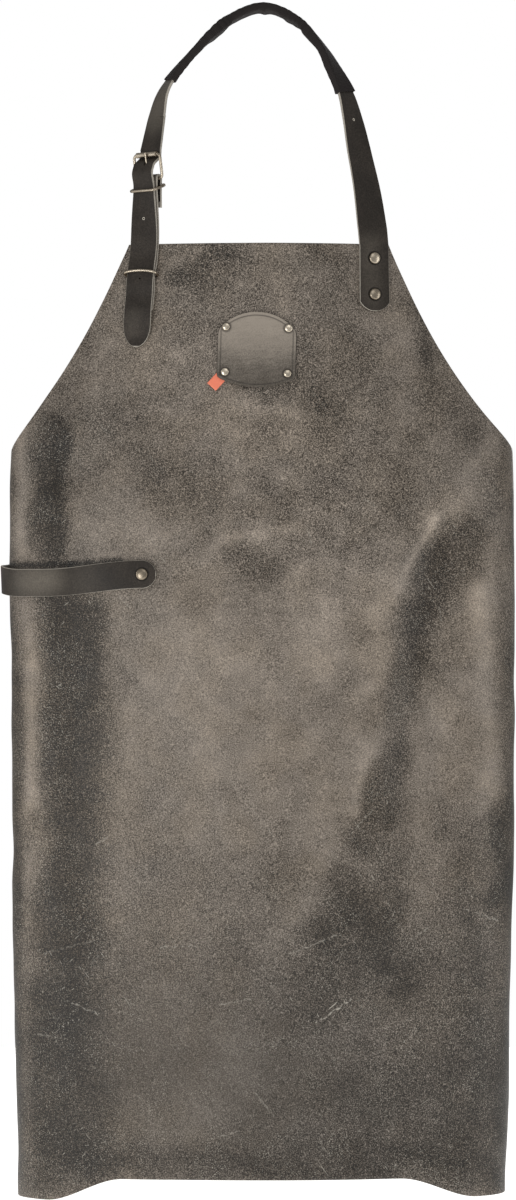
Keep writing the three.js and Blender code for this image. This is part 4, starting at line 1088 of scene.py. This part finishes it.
def neck_stations(lifts):
    """The long strap, from its end on the right of the bib to its free end."""
    full = lifts.width / 2
    stations = []
    broad = full + RIGHT_EXTRA
    arc = RIGHT_END_RADIUS - math.sqrt(RIGHT_END_RADIUS**2 - broad**2)

    def on_bib(drop, half):
        point, along, _, normal = sheet_frame(RIGHT_ACROSS, drop)
        stations.append((point + lifts.on_sheet * normal, along, half))

    for share in np.linspace(0, 1, 13) ** 2:
        from_end = arc * share
        half = end_half_width(from_end, RIGHT_END_RADIUS, RIGHT_END_RADIUS, broad)
        on_bib(RIGHT_DROP - from_end, half)
    for share in np.linspace(0, 1, 19)[1:]:
        on_bib(mix(RIGHT_DROP - arc, RIGHT_TOP_DROP, share), broad)
    for k, (point, edge) in enumerate(neck_run()):
        stations.append((point, edge, mix(broad, full, ease(k, 0, 2 * RUN_STEPS))))
    point_rise = -HEEL_RISE - (FREE_DROP - FREE_POINT)
    for rise in [*np.linspace(FREE_TOP_RISE, -2, 30), *np.linspace(-2, point_rise, 60)[1:]]:
        stations.append(lifts.left_station(rise, lifts.free_end(rise)))
    for share in np.linspace(1, 0, 17)[1:] ** 1.7:
        from_tip = FREE_POINT * share
        rise = -HEEL_RISE - FREE_DROP + from_tip
        half = end_half_width(from_tip, FREE_POINT, full, full)
        stations.append(lifts.left_station(rise, lifts.free_end(rise), half))
    return stations


def tongue_line(lifts):
    """Rise and lift of the tongue's foot and tip."""
    # The tongue lies over the roller at a slant, which takes a little more than their radii.
    clear = 1.04 * (ROLLER + GAP + TONGUE) + 0.3 * TONGUE_OVER
    foot = (lifts.wire + GAP + TONGUE_RING / 2, TONGUE_FOOT_LIFT)
    return foot, (BUCKLE_HEIGHT + TONGUE_OVER, BUCKLE_LEAN + clear)


def neck_holes(lifts):
    """Cutters for the long strap's punched holes and for the tongue."""
    points, along, edges, normals = framed(neck_run())
    k = RIGHT_HOLE_STATION * RUN_STEPS
    round_hole = round_outline(PUNCHED)
    holes = [prism(round_hole, points[k], edges[k], along[k], normals[k], RUN_CUT)]
    for rise in PUNCHED_RISES:
        point, edge, normal = left_frame(rise)
        middle = point + lifts.free_end(rise) * normal
        holes.append(prism(round_hole, middle, -edge, np.cross(edge, normal), normal, FREE_CUT))
    foot, tip = tongue_line(lifts)
    rises = np.linspace(0, BUCKLE_HEIGHT, 101)
    lift = np.array([mix(foot[1], tip[1], (rise - foot[0]) / (tip[0] - foot[0])) for rise in rises])
    rise = rises[np.argmin(np.abs(lift - [lifts.free_end(r) for r in rises]))]
    point, edge, normal = left_frame(rise)
    oval = round_outline(1.0) * TONGUE_HOLE
    slant = TONGUE_SLANT * (rise - foot[0]) / (tip[0] - foot[0])
    middle = point + lifts.free_end(rise) * normal - slant * edge
    holes.append(prism(oval, middle, -edge, np.cross(edge, normal), normal, TONGUE_CUT))
    return holes


def buckle_stations(lifts):
    """The short strap from the bib round the heel bar, and its slot's cutter."""
    full = lifts.width / 2
    stations = []
    for share in np.linspace(0, 1, 13) ** 2:
        from_end = LEFT_END_LENGTH * share
        half = end_half_width(from_end, LEFT_END_LENGTH, full, full)
        stations.append(lifts.left_station(-HEEL_RISE - LEFT_END_DROP + from_end, lifts.on_sheet, half))
    for drop in np.linspace(LEFT_END_DROP - LEFT_END_LENGTH, 2, 37)[1:]:
        hump = 1 - ease(abs(drop - KEEPER_LOWER_DROP), 0, KEEPER_HUMP)
        stations.append(lifts.left_station(-HEEL_RISE - drop, mix(lifts.on_sheet, lifts.hump, hump)))
    for share in np.linspace(0, 1, 31)[1:]:
        rise = mix(-HEEL_RISE - 2, -1, share)
        stations.append(lifts.left_station(rise, mix(lifts.on_sheet, lifts.heel, share)))
    point, edge, normal = left_frame(0)
    up = np.cross(edge, normal)
    for angle in np.linspace(0, math.pi, 21):
        wrapped = point + lifts.heel * (math.cos(angle) * normal + math.sin(angle) * up)
        stations.append((wrapped, edge, full))
    for share in np.linspace(0, 1, 13)[1:]:
        stations.append(lifts.left_station(-TAIL * share, -lifts.heel))
    slot = np.array([[-1, -1], [1, -1], [1, 1], [-1, 1]]) * (TONGUE_SLOT / 2, TONGUE_SLOT_REACH)
    return stations, prism(slot, point, -edge, up, normal, SLOT_CUT)


def loop_stations(lifts):
    """The loop, from its end in front round the left edge to its end behind."""
    full = lifts.width / 2
    end = LOOP_ACROSS + full
    stations = []

    def add(across, lift, drop, half=full, tilt=0.0):
        point, _, down, normal = sheet_frame(across, drop)
        edge = math.sin(tilt) * normal - math.cos(tilt) * down
        stations.append((point + lift * normal, edge, half))

    ends = [full * share for share in np.linspace(0, 1, 15) ** 2]
    for from_end in ends:
        add(end - from_end, lifts.on_sheet, LOOP_DROP, end_half_width(from_end, full, full, full))
    for share in np.linspace(0, 1, 49)[1:]:
        lift = mix(lifts.on_sheet, LOOP_STAND, ease(share, 0, LOOP_STANDS_BY))
        drop = LOOP_DROP + LOOP_SAG * ease(share, 0, LOOP_SAGS_BY)
        drop = drop - LOOP_END_RISE * ease(share, LOOP_RISES_FROM, 1)
        tilt = LOOP_TILT * (ease(share, *LOOP_TILTS) - ease(share, *LOOP_LEVELS))
        add(mix(LOOP_ACROSS, -HALF_WIDTH, share), lift, drop, tilt=tilt)
    bend_drop = LOOP_DROP + LOOP_SAG - LOOP_END_RISE
    point, along, down, normal = sheet_frame(-HALF_WIDTH, bend_drop)
    radius = (LOOP_STAND + LOOP_BACK) / 2
    for share in np.linspace(0, 1, 25)[1:-1]:
        angle = share * math.pi
        out = (LOOP_CLEAR + radius) * math.sin(angle)
        lift = LOOP_STAND - radius + radius * math.cos(angle)
        turned_back = point - out * along + lift * normal
        turned_back[2] = BIB_TOP_Z - mix(bend_drop, LOOP_DROP, ease(share, 0, LOOP_BENT_BY))
        stations.append((turned_back, -down, full))
    for share in np.linspace(0, 1, 49):
        lift = mix(-LOOP_BACK, -lifts.on_sheet, ease(share, LOOP_SETTLES_FROM, 1))
        add(mix(-HALF_WIDTH, LOOP_ACROSS, share), lift, LOOP_DROP)
    for from_end in ends[-2::-1]:
        add(end - from_end, -lifts.on_sheet, LOOP_DROP, end_half_width(from_end, full, full, full))
    return stations


class APRON_OT_straps(bpy.types.Operator):
    """Makes the neck strap, the buckle strap and the loop round the left edge"""

    bl_idname = "apron.straps"
    bl_label = "Straps"

    def execute(self, context):
        look = context.scene.apron_look
        lifts = Lifts(look)
        finish = finish_named("bridle_leather", strap_finish, look)
        buckle_run, tongue_slot = buckle_stations(lifts)
        bands = [
            ("neck_band", neck_stations(lifts), "neck_strap", neck_holes(lifts)),
            ("buckle_band", buckle_run, "buckle_strap", [tongue_slot]),
            ("towel_loop", loop_stations(lifts), "side_loop", []),
        ]
        for name, stations, node, holes in bands:
            points, faces, marks = strap_mesh(stations, lifts.strap)
            band = make_piece(name, points, faces, finish, [node], marks, crease=50)
            drill(band, holes)
        return {"FINISHED"}


class APRON_OT_sleeve(bpy.types.Operator):
    """Makes the gathered textile sleeve at the nape"""

    bl_idname = "apron.sleeve"
    bl_label = "Neck sleeve"

    def execute(self, context):
        look = context.scene.apron_look
        points, _, edges, normals = framed(neck_run(SLEEVE_STEPS))
        part = slice(SLEEVE_FROM * SLEEVE_STEPS, SLEEVE_TO * SLEEVE_STEPS + 1)
        points, edges, normals = points[part], edges[part], normals[part]
        steps = np.linalg.norm(np.diff(points, axis=0), axis=-1)
        along = np.concatenate([[0], np.cumsum(steps)])
        sides = SLEEVE_SIDES
        angle = np.arange(sides) * 2 * math.pi / sides
        across = np.sign(np.cos(angle)) * np.abs(np.cos(angle)) ** SLEEVE_BOXY
        out = np.sign(np.sin(angle)) * np.abs(np.sin(angle)) ** SLEEVE_BOXY
        rng = np.random.default_rng(RIPPLE_SEED)
        bulge = np.zeros((len(points), sides))
        for _ in range(RIPPLE_COUNT):
            length = rng.uniform(*RIPPLE_LENGTHS)
            phase = rng.uniform(0, 2 * math.pi)
            lean = rng.uniform(-RIPPLE_LEAN, RIPPLE_LEAN)
            wave = np.sin(2 * math.pi * along[:, None] / length + phase + lean * across)
            bulge = bulge + RIPPLE_HEIGHT * wave
        inner = ease(-across, -0.6, 1.0)
        middle = ease(along, 0, RIPPLE_FADE) * (1 - ease(along, along[-1] - RIPPLE_FADE, along[-1]))
        bulge = (0.35 + 1.2 * inner) * np.abs(bulge) * (0.25 + 0.75 * middle[:, None])
        tucks = middle
        for x, spread, rise in GATHERS:
            tucks = tucks + rise * np.exp(-(((points[:, 0] - x) / spread) ** 2))
        tucks = tucks[:, None] * ease(-out, 0, 1)
        half = look.strap_width / MM / 2 + SLEEVE_ROOM_WIDE
        thick = look.strap_thickness / MM / 2 + SLEEVE_ROOM_DEEP
        skins = []
        for grow, sag, way in ((bulge, tucks, 1), (np.full(bulge.shape, -SLEEVE_WALL), 0, -1)):
            width = ((half + grow) * across)[..., None] * edges[:, None]
            depth = ((thick + 0.6 * grow + sag) * out)[..., None] * normals[:, None]
            skins.append((points[:, None] + width + depth)[::way])
        vertices = np.concatenate(skins).reshape(-1, 3)
        faces = grid_faces(2 * len(points), sides, closed=True, looped=True)
        marks = {"along": np.repeat(np.concatenate([along, along[::-1]]) * MM, sides)}
        finish = finish_named("sleeve_textile", sleeve_finish, look)
        nodes = ["neck_sleeve"]
        make_piece("neck_padding", vertices, faces, finish, nodes, marks, crease=60)
        return {"FINISHED"}


def patch_to_sheet(across, down):
    """Across and drop on the sheet for places on the patch."""
    c, s = math.cos(PATCH_TURN), math.sin(PATCH_TURN)
    return PATCH_ACROSS + across * c + down * s, PATCH_DROP + down * c - across * s


def patch_lift(look, across, down):
    """Middle of the patch's wall over the sheet, raised where the tab lies under its corner."""
    off = np.hypot(across + PATCH_RIVET_ACROSS, down - PATCH_RIVET_DOWN)
    raised = (look.tab_thickness / MM + GAP) * (1 - ease(off, TAB_RAISE_FLAT, TAB_RAISE_REACH))
    return look.sheet_thickness / MM / 2 + GAP + look.patch_thickness / MM / 2 + raised


def patch_half_width(down):
    """The lesser of the patch's straight side and its arches, with soft shoulders."""
    from_top, from_bottom = down + PATCH_TOP, PATCH_BOTTOM - down
    top = np.sqrt(np.maximum(0, (2 * PATCH_TOP_RADIUS - from_top) * from_top))
    bottom = np.sqrt(np.maximum(0, (2 * PATCH_BOTTOM_RADIUS - from_bottom) * from_bottom))
    arched = np.minimum(top, bottom)
    share = np.clip(0.5 + (PATCH_HALF_WIDTH - arched) / (2 * PATCH_SHOULDER), 0, 1)
    return np.maximum(1, mix(PATCH_HALF_WIDTH, arched, share) - PATCH_SHOULDER * share * (1 - share))


def plate(across, down, lift, thickness):
    """A shell laid on the sheet at places of the patch: its points, faces, rim and normals."""
    point, _, _, normal = sheet_frame(*patch_to_sheet(across, down))
    return *shell(point, normal, lift, thickness, PLATE_RIM), normal.reshape(-1, 3)


class APRON_OT_patch(bpy.types.Operator):
    """Makes the bare patch on the bib, with a plain pressed border"""

    bl_idname = "apron.patch"
    bl_label = "Patch"

    def execute(self, context):
        look = context.scene.apron_look
        share = np.linspace(-1, 1, PATCH_STEPS)
        side = np.concatenate([[-1, -PATCH_RIM_SHARE], share[2:-2], [PATCH_RIM_SHARE, 1]])
        down = mix(-PATCH_TOP, PATCH_BOTTOM, 0.5 + 0.5 * np.sin(side * math.pi / 2))
        half = patch_half_width(down)
        across = half[:, None] * side
        down = np.repeat(down[:, None], len(side), axis=1)
        top = PATCH_TOP_RADIUS - np.hypot(across, PATCH_TOP_RADIUS - PATCH_TOP - down)
        bottom = PATCH_BOTTOM_RADIUS - np.hypot(across, PATCH_BOTTOM - PATCH_BOTTOM_RADIUS - down)
        inside = np.minimum(PATCH_HALF_WIDTH - np.abs(across), np.minimum(top, bottom))
        pressed = np.exp(-(((inside - PATCH_BORDER) / PATCH_BORDER_SPREAD) ** 2))
        # Rings pressed round the rivets; the finish darkens them as painted shadow.
        off_level = np.where(down < 0, down + PATCH_RIVET_UP, down - PATCH_RIVET_DOWN)
        off_rivet = np.hypot(np.abs(across) - PATCH_RIVET_ACROSS, off_level)
        ring = np.exp(-(((off_rivet - PATCH_RING) / PATCH_RING_SPREAD) ** 2))
        pressed = np.maximum(pressed, ring)
        lift = patch_lift(look, across, down)
        points, faces, rim, normal = plate(across, down, lift, look.patch_thickness / MM)
        count = across.size
        points[:count] -= PRESSED_DEPTH * pressed.reshape(-1, 1) * normal
        marks = {
            "raw_edge": np.tile(rim.ravel(), 2),
            "pressed": np.concatenate([pressed.ravel(), np.zeros(count)]),
        }
        finish = finish_named("patch_hide", patch_finish, look)
        make_piece("bib_patch", points, faces, finish, ["patch"], marks)
        return {"FINISHED"}


class APRON_OT_tab(bpy.types.Operator):
    """Makes the coral tab under the patch's lower left corner"""

    bl_idname = "apron.tab"
    bl_label = "Tab"

    def execute(self, context):
        look = context.scene.apron_look
        along = np.linspace(-TAB_TUCKED, TAB_OUT, TAB_STEPS)[:, None]
        side = np.linspace(-1, 1, TAB_COLUMNS) * TAB_HALF_WIDTH
        across = -PATCH_RIVET_ACROSS + side * math.cos(TAB_TURN) + along * math.sin(TAB_TURN)
        down = PATCH_RIVET_DOWN + along * math.cos(TAB_TURN) - side * math.sin(TAB_TURN)
        thickness = look.tab_thickness / MM
        lift = look.sheet_thickness / MM / 2 + GAP + thickness / 2
        lift = lift + TAB_CURL * ease(along, TAB_CURL_FROM, TAB_OUT)
        points, faces, _, _ = plate(across, down, lift, thickness)
        finish = finish_named("coral_leather", tab_finish, look)
        make_piece("coral_tab", points, faces, finish, ["corner_tab"])
        return {"FINISHED"}


def rounded_loop(half, low, high, corner):
    """A closed rounded rectangle in its own plane."""
    centres = [(half - corner, high - corner, 0), (corner - half, high - corner, 90)]
    centres += [(corner - half, low + corner, 180), (half - corner, low + corner, 270)]
    path = []
    for x, y, start in centres:
        for angle in np.radians(np.linspace(start, start + 90, CORNER_STEPS + 1)):
            path.append((x + corner * math.cos(angle), y + corner * math.sin(angle)))
    made = []
    for (x, y), (next_x, next_y) in zip(path, path[1:] + path[:1]):
        made.append((x, y))
        gap = math.hypot(next_x - x, next_y - y)
        for k in range(1, int(gap / 2)):
            share = k / int(gap / 2)
            made.append((mix(x, next_x, share), mix(y, next_y, share)))
    return np.array(made)


def closed_wire(path, radius, out, dull):
    """A ring of round wire along a closed path in a plane with the normal out, and its tarnish with
    painted highlight and shade.
    """
    along = unit(np.roll(path, -1, axis=0) - np.roll(path, 1, axis=0))
    across = np.cross(along, out)
    sides = WIRE_SIDES
    angle = np.arange(sides) * 2 * math.pi / sides
    ring = np.cos(angle)[None, :, None] * across[:, None] + np.sin(angle)[None, :, None] * out
    points = (path[:, None] + radius * ring).reshape(-1, 3)
    faces = grid_faces(len(path), sides, closed=True, looped=True)
    return points, faces, painted_front_light(points, np.repeat(path, sides, axis=0), dull)


def lathe(profile, point, axis, sides=LATHE_SIDES):
    """A closed solid turned from (radius, height) pairs about an axis; a profile may close on itself."""
    helper = np.array([1.0, 0.0, 0.0]) if abs(axis[0]) < 0.8 else UP
    first = unit(np.cross(axis, helper))
    second = np.cross(axis, first)
    angle = np.arange(sides) * 2 * math.pi / sides
    around = np.cos(angle)[:, None] * first + np.sin(angle)[:, None] * second
    rings = [point + radius * around + height * axis for radius, height in profile]
    return np.concatenate(rings), grid_faces(len(profile), sides, closed=True)


def capped_lathe(profile, point, axis, sides=LATHE_SIDES):
    """A turned solid with flat ends."""
    points, faces = lathe(profile, point, axis, sides)
    faces.append(list(range(sides)))
    faces.append(list(range(len(points) - 1, len(points) - sides - 1, -1)))
    return points, faces


def painted_front_light(points, centres, dull, middle=0.0):
    """Painted light on round metal: a painted highlight in front, painted shade at its sides, and a
    painted dark reflection again in its middle.
    """
    facing = -unit(points - centres)[:, 1]
    grimed = mix(1, dull, ease(facing, 0.25, 0.75))
    return mix(grimed, 1, middle * ease(facing, 0.88, 0.98))


def on_axis(points, start, axis):
    """The places on an axis that points lie level with."""
    return start + ((points - start) @ axis)[:, None] * axis


def metal_piece(name, node, look, points, faces, grimed, crease=None):
    """A piece of aged brass."""
    finish = finish_named("aged_brass", brass_finish, look)
    make_piece(name, points, faces, finish, [node], {"grimed": grimed}, crease)


def left_basis(rise):
    """Point, across, back and up of the left strap at a height above the heel bar."""
    point, edge, normal = left_frame(rise)
    return point, -edge, -normal, np.cross(edge, normal)


class APRON_OT_buckle(bpy.types.Operator):
    """Makes the wire buckle with its roller and tongue"""

    bl_idname = "apron.buckle"
    bl_label = "Buckle"

    def execute(self, context):
        look = context.scene.apron_look
        lifts = Lifts(look)
        point, across, back, up = left_basis(0)
        half = lifts.width / 2 + BUCKLE_SIDE + lifts.wire
        slant = unit(up - back * BUCKLE_LEAN / BUCKLE_HEIGHT)
        length = math.hypot(BUCKLE_HEIGHT, BUCKLE_LEAN)
        path = rounded_loop(half, 0, length, BUCKLE_CORNER)
        path = point + path[:, :1] * across + path[:, 1:] * slant
        # Painted highlight on the wire's front, painted shade at its sides.
        wire = closed_wire(path, lifts.wire, np.cross(across, slant), BUCKLE_DULL)
        metal_piece("buckle_wire", "buckle_frame", look, *wire)

        inner, end = lifts.wire + GAP, ROLLER_LENGTH / 2
        flat = ROLLER - ROLLER_CHAMFER
        tube = [(inner, -end), (flat, -end), (ROLLER, ROLLER_CHAMFER - end)]
        tube += [(ROLLER, end - ROLLER_CHAMFER), (flat, end), (inner, end), (inner, -end)]
        centre = point - back * BUCKLE_LEAN + up * BUCKLE_HEIGHT
        points, faces = lathe(tube, centre, across)
        # The roller: painted highlights above and below, a painted dark reflection in its middle.
        grimed = painted_front_light(points, on_axis(points, centre, across), BUCKLE_DULL, ROLLER_DARK_REFLECTION)
        metal_piece("buckle_barrel", "buckle_roller", look, points, faces, grimed, crease=40)

        foot, tip = tongue_line(lifts)
        start = point - back * foot[1] + up * foot[0]
        stop = point - back * tip[1] + up * tip[0] + across * TONGUE_SLANT
        run = unit(stop - start)
        reach = float(np.linalg.norm(stop - start))
        pin = [(TONGUE_BLUNT, 0), (TONGUE, TONGUE_BLUNT), (TONGUE, reach - TONGUE_TAPER)]
        pin += [(0.85 * TONGUE, reach - 0.7), (TONGUE_BLUNT, reach)]
        points, faces = capped_lathe(pin, start, run, TONGUE_SIDES)
        # Painted highlight on the tongue's front, painted shade at its sides.
        grimed = painted_front_light(points, on_axis(points, start, run), BUCKLE_DULL)
        ring_out = inner + TONGUE_RING
        wide = TONGUE_EYE * TONGUE
        eye = [(inner, -wide), (ring_out, -wide), (ring_out, wide), (inner, wide), (inner, -wide)]
        more, more_faces = lathe(eye, point, across)
        faces += [[k + len(points) for k in face] for face in more_faces]
        points = np.concatenate([points, more])
        grimed = np.concatenate([grimed, np.ones(len(more))])
        metal_piece("buckle_pin", "buckle_tongue", look, points, faces, grimed, crease=40)
        return {"FINISHED"}


class APRON_OT_keepers(bpy.types.Operator):
    """Makes the two wire keepers round the left strap"""

    bl_idname = "apron.keepers"
    bl_label = "Keepers"

    def execute(self, context):
        look = context.scene.apron_look
        lifts = Lifts(look)
        half = lifts.width / 2 + KEEPER_SIDE
        reach = lifts.strap / 2 + GAP + lifts.wire
        upper_front = -lifts.free_end(KEEPER_UPPER_RISE) - reach - KEEPER_SLACK
        upper_back = lifts.heel + reach + KEEPER_SLACK
        lower_front = -lifts.over_hump - reach - KEEPER_SLACK
        lower_back = -look.sheet_thickness / MM / 2 - SEAT - lifts.wire
        lower_rise = -HEEL_RISE - KEEPER_LOWER_DROP
        places = [
            ("upper", KEEPER_UPPER_RISE, KEEPER_UPPER_TILT, upper_front, upper_back, 0),
            ("lower", lower_rise, KEEPER_LOWER_TILT, lower_front, lower_back, KEEPER_BOW),
        ]
        for label, rise, tilt, front, rear, bowed in places:
            point, across, back, up = left_basis(rise)
            leaning = math.cos(tilt) * back + math.sin(tilt) * up
            path = rounded_loop(half, front, rear, KEEPER_CORNER)
            bow = np.where(path[:, 1:] < front + KEEPER_CORNER, 1 - (path[:, :1] / half) ** 2, 0)
            path = point + path[:, :1] * across + path[:, 1:] * leaning + bowed * bow * up
            # Painted highlight on the keeper's front, painted shade at its sides.
            wire = closed_wire(path, lifts.wire, np.cross(across, leaning), KEEPER_DULL)
            metal_piece(f"keeper_ring_{label}", f"keeper_{label}", look, *wire)
        return {"FINISHED"}


def rivet_mesh(size, point, normal, front, back):
    """A domed cap in front, a post and a flat cap behind: points, faces and its tarnish, darker to the
    cap's rim partly as painted shadow.
    """
    cap, dome, post, back_cap, back_height, dull = size
    front, back = front + SEAT, back - SEAT
    profile = [(0.05, back - back_height), (0.7 * back_cap, back - back_height)]
    profile += [(back_cap - 0.2, back - 0.75 * back_height), (back_cap, back - 0.4 * back_height)]
    profile += [(back_cap, back), (post, back), (post, front), (cap - 0.15, front), (cap, front + 0.2)]
    rim = 0.22 * dome
    for angle in np.linspace(0.1, math.pi / 2 - 0.02, 12):
        profile.append((cap * math.cos(angle), front + rim + (dome - rim) * math.sin(angle)))
    # Darker towards the cap's rim: partly tarnish, partly painted shadow.
    grimed = mix(dull, 1, ease([radius / cap for radius, _ in profile], 0.82, 1.0))
    return *capped_lathe(profile, point, normal), np.repeat(grimed, LATHE_SIDES)


class APRON_OT_rivets(bpy.types.Operator):
    """Makes the rivets of the straps, the loop and the patch"""

    bl_idname = "apron.rivets"
    bl_label = "Rivets"

    def execute(self, context):
        look = context.scene.apron_look
        lifts = Lifts(look)
        face = lifts.on_sheet + lifts.strap / 2
        sheet_back = -look.sheet_thickness / MM / 2
        rows = []
        for label, right, left in zip(("upper", "lower"), RIGHT_RIVET_DROPS, LEFT_RIVET_DROPS):
            rows.append((f"right_{label}", RIVET, RIGHT_ACROSS, right, face, sheet_back))
            rows.append((f"left_{label}", HIDDEN_RIVET, left_across(left), left, face, sheet_back))
        rows.append(("side_loop", LOOP_RIVET, LOOP_ACROSS, LOOP_DROP, face, -face))
        for vertical, down in (("upper", -PATCH_RIVET_UP), ("lower", PATCH_RIVET_DOWN)):
            for side, across in (("left", -PATCH_RIVET_ACROSS), ("right", PATCH_RIVET_ACROSS)):
                lift = float(patch_lift(look, across, down)) + look.patch_thickness / MM / 2
                place = patch_to_sheet(across, down)
                rows.append((f"patch_{vertical}_{side}", PATCH_RIVET, *place, lift, sheet_back))
        for label, size, across, drop, front, back in rows:
            point, _, _, normal = sheet_frame(across, drop)
            rivet = rivet_mesh(size, point, normal, front, back)
            metal_piece(f"rivet_cap_{label}", f"rivet_{label}", look, *rivet, crease=55)
        return {"FINISHED"}


def soft_light(name, place, width, height, power):
    """An area lamp that faces the apron."""
    lamp = bpy.data.lights.new(name, "AREA")
    lamp.shape = "RECTANGLE"
    lamp.size = width
    lamp.size_y = height
    lamp.energy = power
    light = bpy.data.objects.new(name, lamp)
    light.location = place
    light.rotation_mode = "QUATERNION"
    light.rotation_quaternion = (Vector(LIT_PLACE) - Vector(place)).to_track_quat("-Z", "Y")
    bpy.context.scene.collection.objects.link(light)


class APRON_OT_stage(bpy.types.Operator):
    """Sets the camera, the floor and the studio light"""

    bl_idname = "apron.stage"
    bl_label = "Stage"

    def execute(self, context):
        studio = context.scene.apron_studio
        lens = bpy.data.cameras.new("camera")
        lens.lens = studio.focal_length
        lens.sensor_width = SENSOR_WIDTH
        camera = bpy.data.objects.new("camera", lens)
        camera.location = CAMERA_PLACE
        camera.rotation_euler = (math.pi / 2, 0.0, 0.0)
        context.scene.collection.objects.link(camera)
        context.scene.camera = camera

        builder = bmesh.new()
        bmesh.ops.create_circle(builder, cap_ends=True, segments=FLOOR_SIDES, radius=FLOOR_RADIUS)
        middle = (0, FLOOR_BACK, CAD_BOX[0][2] - FLOOR_BELOW)
        bmesh.ops.translate(builder, verts=builder.verts, vec=middle)
        mesh = bpy.data.meshes.new("floor")
        builder.to_mesh(mesh)
        builder.free()
        floor = bpy.data.objects.new("floor", mesh)
        context.scene.collection.objects.link(floor)
        glow = {"Emission Color": rgb(studio.floor_colour), "Emission Strength": 0.9}
        paint, shader, place = new_finish("floor_paint", {"Roughness": 0.9, **glow})
        cloud = place.noise(3.0, 2.0, 0.5)
        cloud.shades(studio.floor_colour, 0.98, 1.0).feed(shader, "Base Color")
        mesh.materials.append(paint)

        for name, place, width, height, power in LAMPS:
            soft_light(name, place, width, height, power * studio.light_power)

        world = bpy.data.worlds.new("pale_room")
        world.use_nodes = True
        tree = world.node_tree
        backdrop = tree.nodes["Background"]
        rays = Shade(tree, tree.nodes.new("ShaderNodeLightPath").outputs["Is Camera Ray"])
        grey = (*[studio.room_light] * 3, 1.0)
        rays.blend(grey, (1.0, 1.0, 1.0, 1.0)).feed(backdrop, "Color")
        context.scene.world = world
        context.scene.view_settings.view_transform = "Standard"
        return {"FINISHED"}


def colour_property(name, description, default):
    return FloatVectorProperty(
        name=name, description=description, subtype="COLOR", size=3, min=0.0, max=1.0, default=default
    )


def size_property(name, description, default):
    return FloatProperty(
        name=name, description=description, subtype="DISTANCE", unit="LENGTH", default=default, precision=5
    )


class ApronLook(bpy.types.PropertyGroup):
    """Wall sizes and colours of the apron"""

    sheet_thickness: size_property("Sheet thickness", "Wall of the bib and skirt", 0.002)
    strap_thickness: size_property("Strap thickness", "Wall of the straps and the loop", 0.003)
    strap_width: size_property("Strap width", "Width of the straps and the loop", 0.03)
    patch_thickness: size_property("Patch thickness", "Wall of the patch", 0.002)
    tab_thickness: size_property("Tab thickness", "Wall of the tab", 0.001)
    wire_radius: size_property("Wire radius", "Radius of the buckle's and keepers' wire", 0.0016)
    weave_pitch: size_property("Weave pitch", "Distance between the sleeve's ribs", 0.0016)
    sheet_colour: colour_property("Hide", "Middle tone of the sheet's front", (0.194, 0.165, 0.134))
    scuff_colour: colour_property("Scuffs", "Flecks and scratches on the hide", (0.45, 0.42, 0.36))
    suede_colour: colour_property("Suede", "Inner side of the hide and the straps", (0.2, 0.175, 0.145))
    raw_colour: colour_property("Raw edge", "Cut edges of the leather", (0.42, 0.385, 0.33))
    strap_colour: colour_property("Straps", "Face of the straps and the loop", (0.032, 0.0262, 0.021))
    patch_colour: colour_property("Patch", "Middle tone of the patch", (0.142, 0.123, 0.102))
    tab_colour: colour_property("Tab", "Dye of the tab", (1.0, 0.27, 0.16))
    sleeve_colour: colour_property("Sleeve", "Yarn of the neck sleeve", (0.03, 0.026, 0.025))
    # Bright brass is also the painted highlight on the wires' fronts, and tarnish also their painted shade
    # at the sides.
    brass_colour: colour_property("Brass", "Rubbed brass", (0.87, 0.77, 0.62))
    tarnish_colour: colour_property("Tarnish", "Browned brass", (0.2, 0.16, 0.115))


class ApronStudio(bpy.types.PropertyGroup):
    """Light, lens and floor of the stage"""

    focal_length: FloatProperty(
        name="Focal length", description="Lens of the camera", unit="CAMERA", default=138.05
    )
    light_power: FloatProperty(
        name="Light", description="Power of all lights together", min=0.0, default=1.0
    )
    room_light: FloatProperty(
        name="Room light", description="Light from all round", min=0.0, default=0.34
    )
    floor_colour: colour_property("Floor", "Paint of the floor", (0.86, 0.86, 0.85))


class APRON_PT_pieces(bpy.types.Panel):
    """Lists the apron's pieces, its look and its stage"""

    bl_idname = "APRON_PT_pieces"
    bl_label = "Leather apron"
    bl_space_type = "VIEW_3D"
    bl_region_type = "UI"
    bl_category = "Apron"

    def draw(self, context):
        layout = self.layout
        for operator in OPERATORS:
            layout.operator(operator.bl_idname)
        for group in (context.scene.apron_look, context.scene.apron_studio):
            for key in group.__annotations__:
                layout.prop(group, key)


OPERATORS = [
    APRON_OT_stage,
    APRON_OT_straps,
    APRON_OT_sheet,
    APRON_OT_sleeve,
    APRON_OT_patch,
    APRON_OT_tab,
    APRON_OT_buckle,
    APRON_OT_keepers,
    APRON_OT_rivets,
]
CLASSES = [ApronLook, ApronStudio, *OPERATORS, APRON_PT_pieces]


def register():
    for cls in CLASSES:
        bpy.utils.register_class(cls)
    bpy.types.Scene.apron_look = PointerProperty(type=ApronLook)
    bpy.types.Scene.apron_studio = PointerProperty(type=ApronStudio)


def unregister():
    del bpy.types.Scene.apron_studio
    del bpy.types.Scene.apron_look
    for cls in reversed(CLASSES):
        bpy.utils.unregister_class(cls)


def main():
    register()
    bpy.ops.apron.stage()
    bpy.ops.apron.straps()
    bpy.ops.apron.sheet()
    bpy.ops.apron.sleeve()
    bpy.ops.apron.patch()
    bpy.ops.apron.tab()
    bpy.ops.apron.buckle()
    bpy.ops.apron.keepers()
    bpy.ops.apron.rivets()


if __name__ == "__main__":
    main()
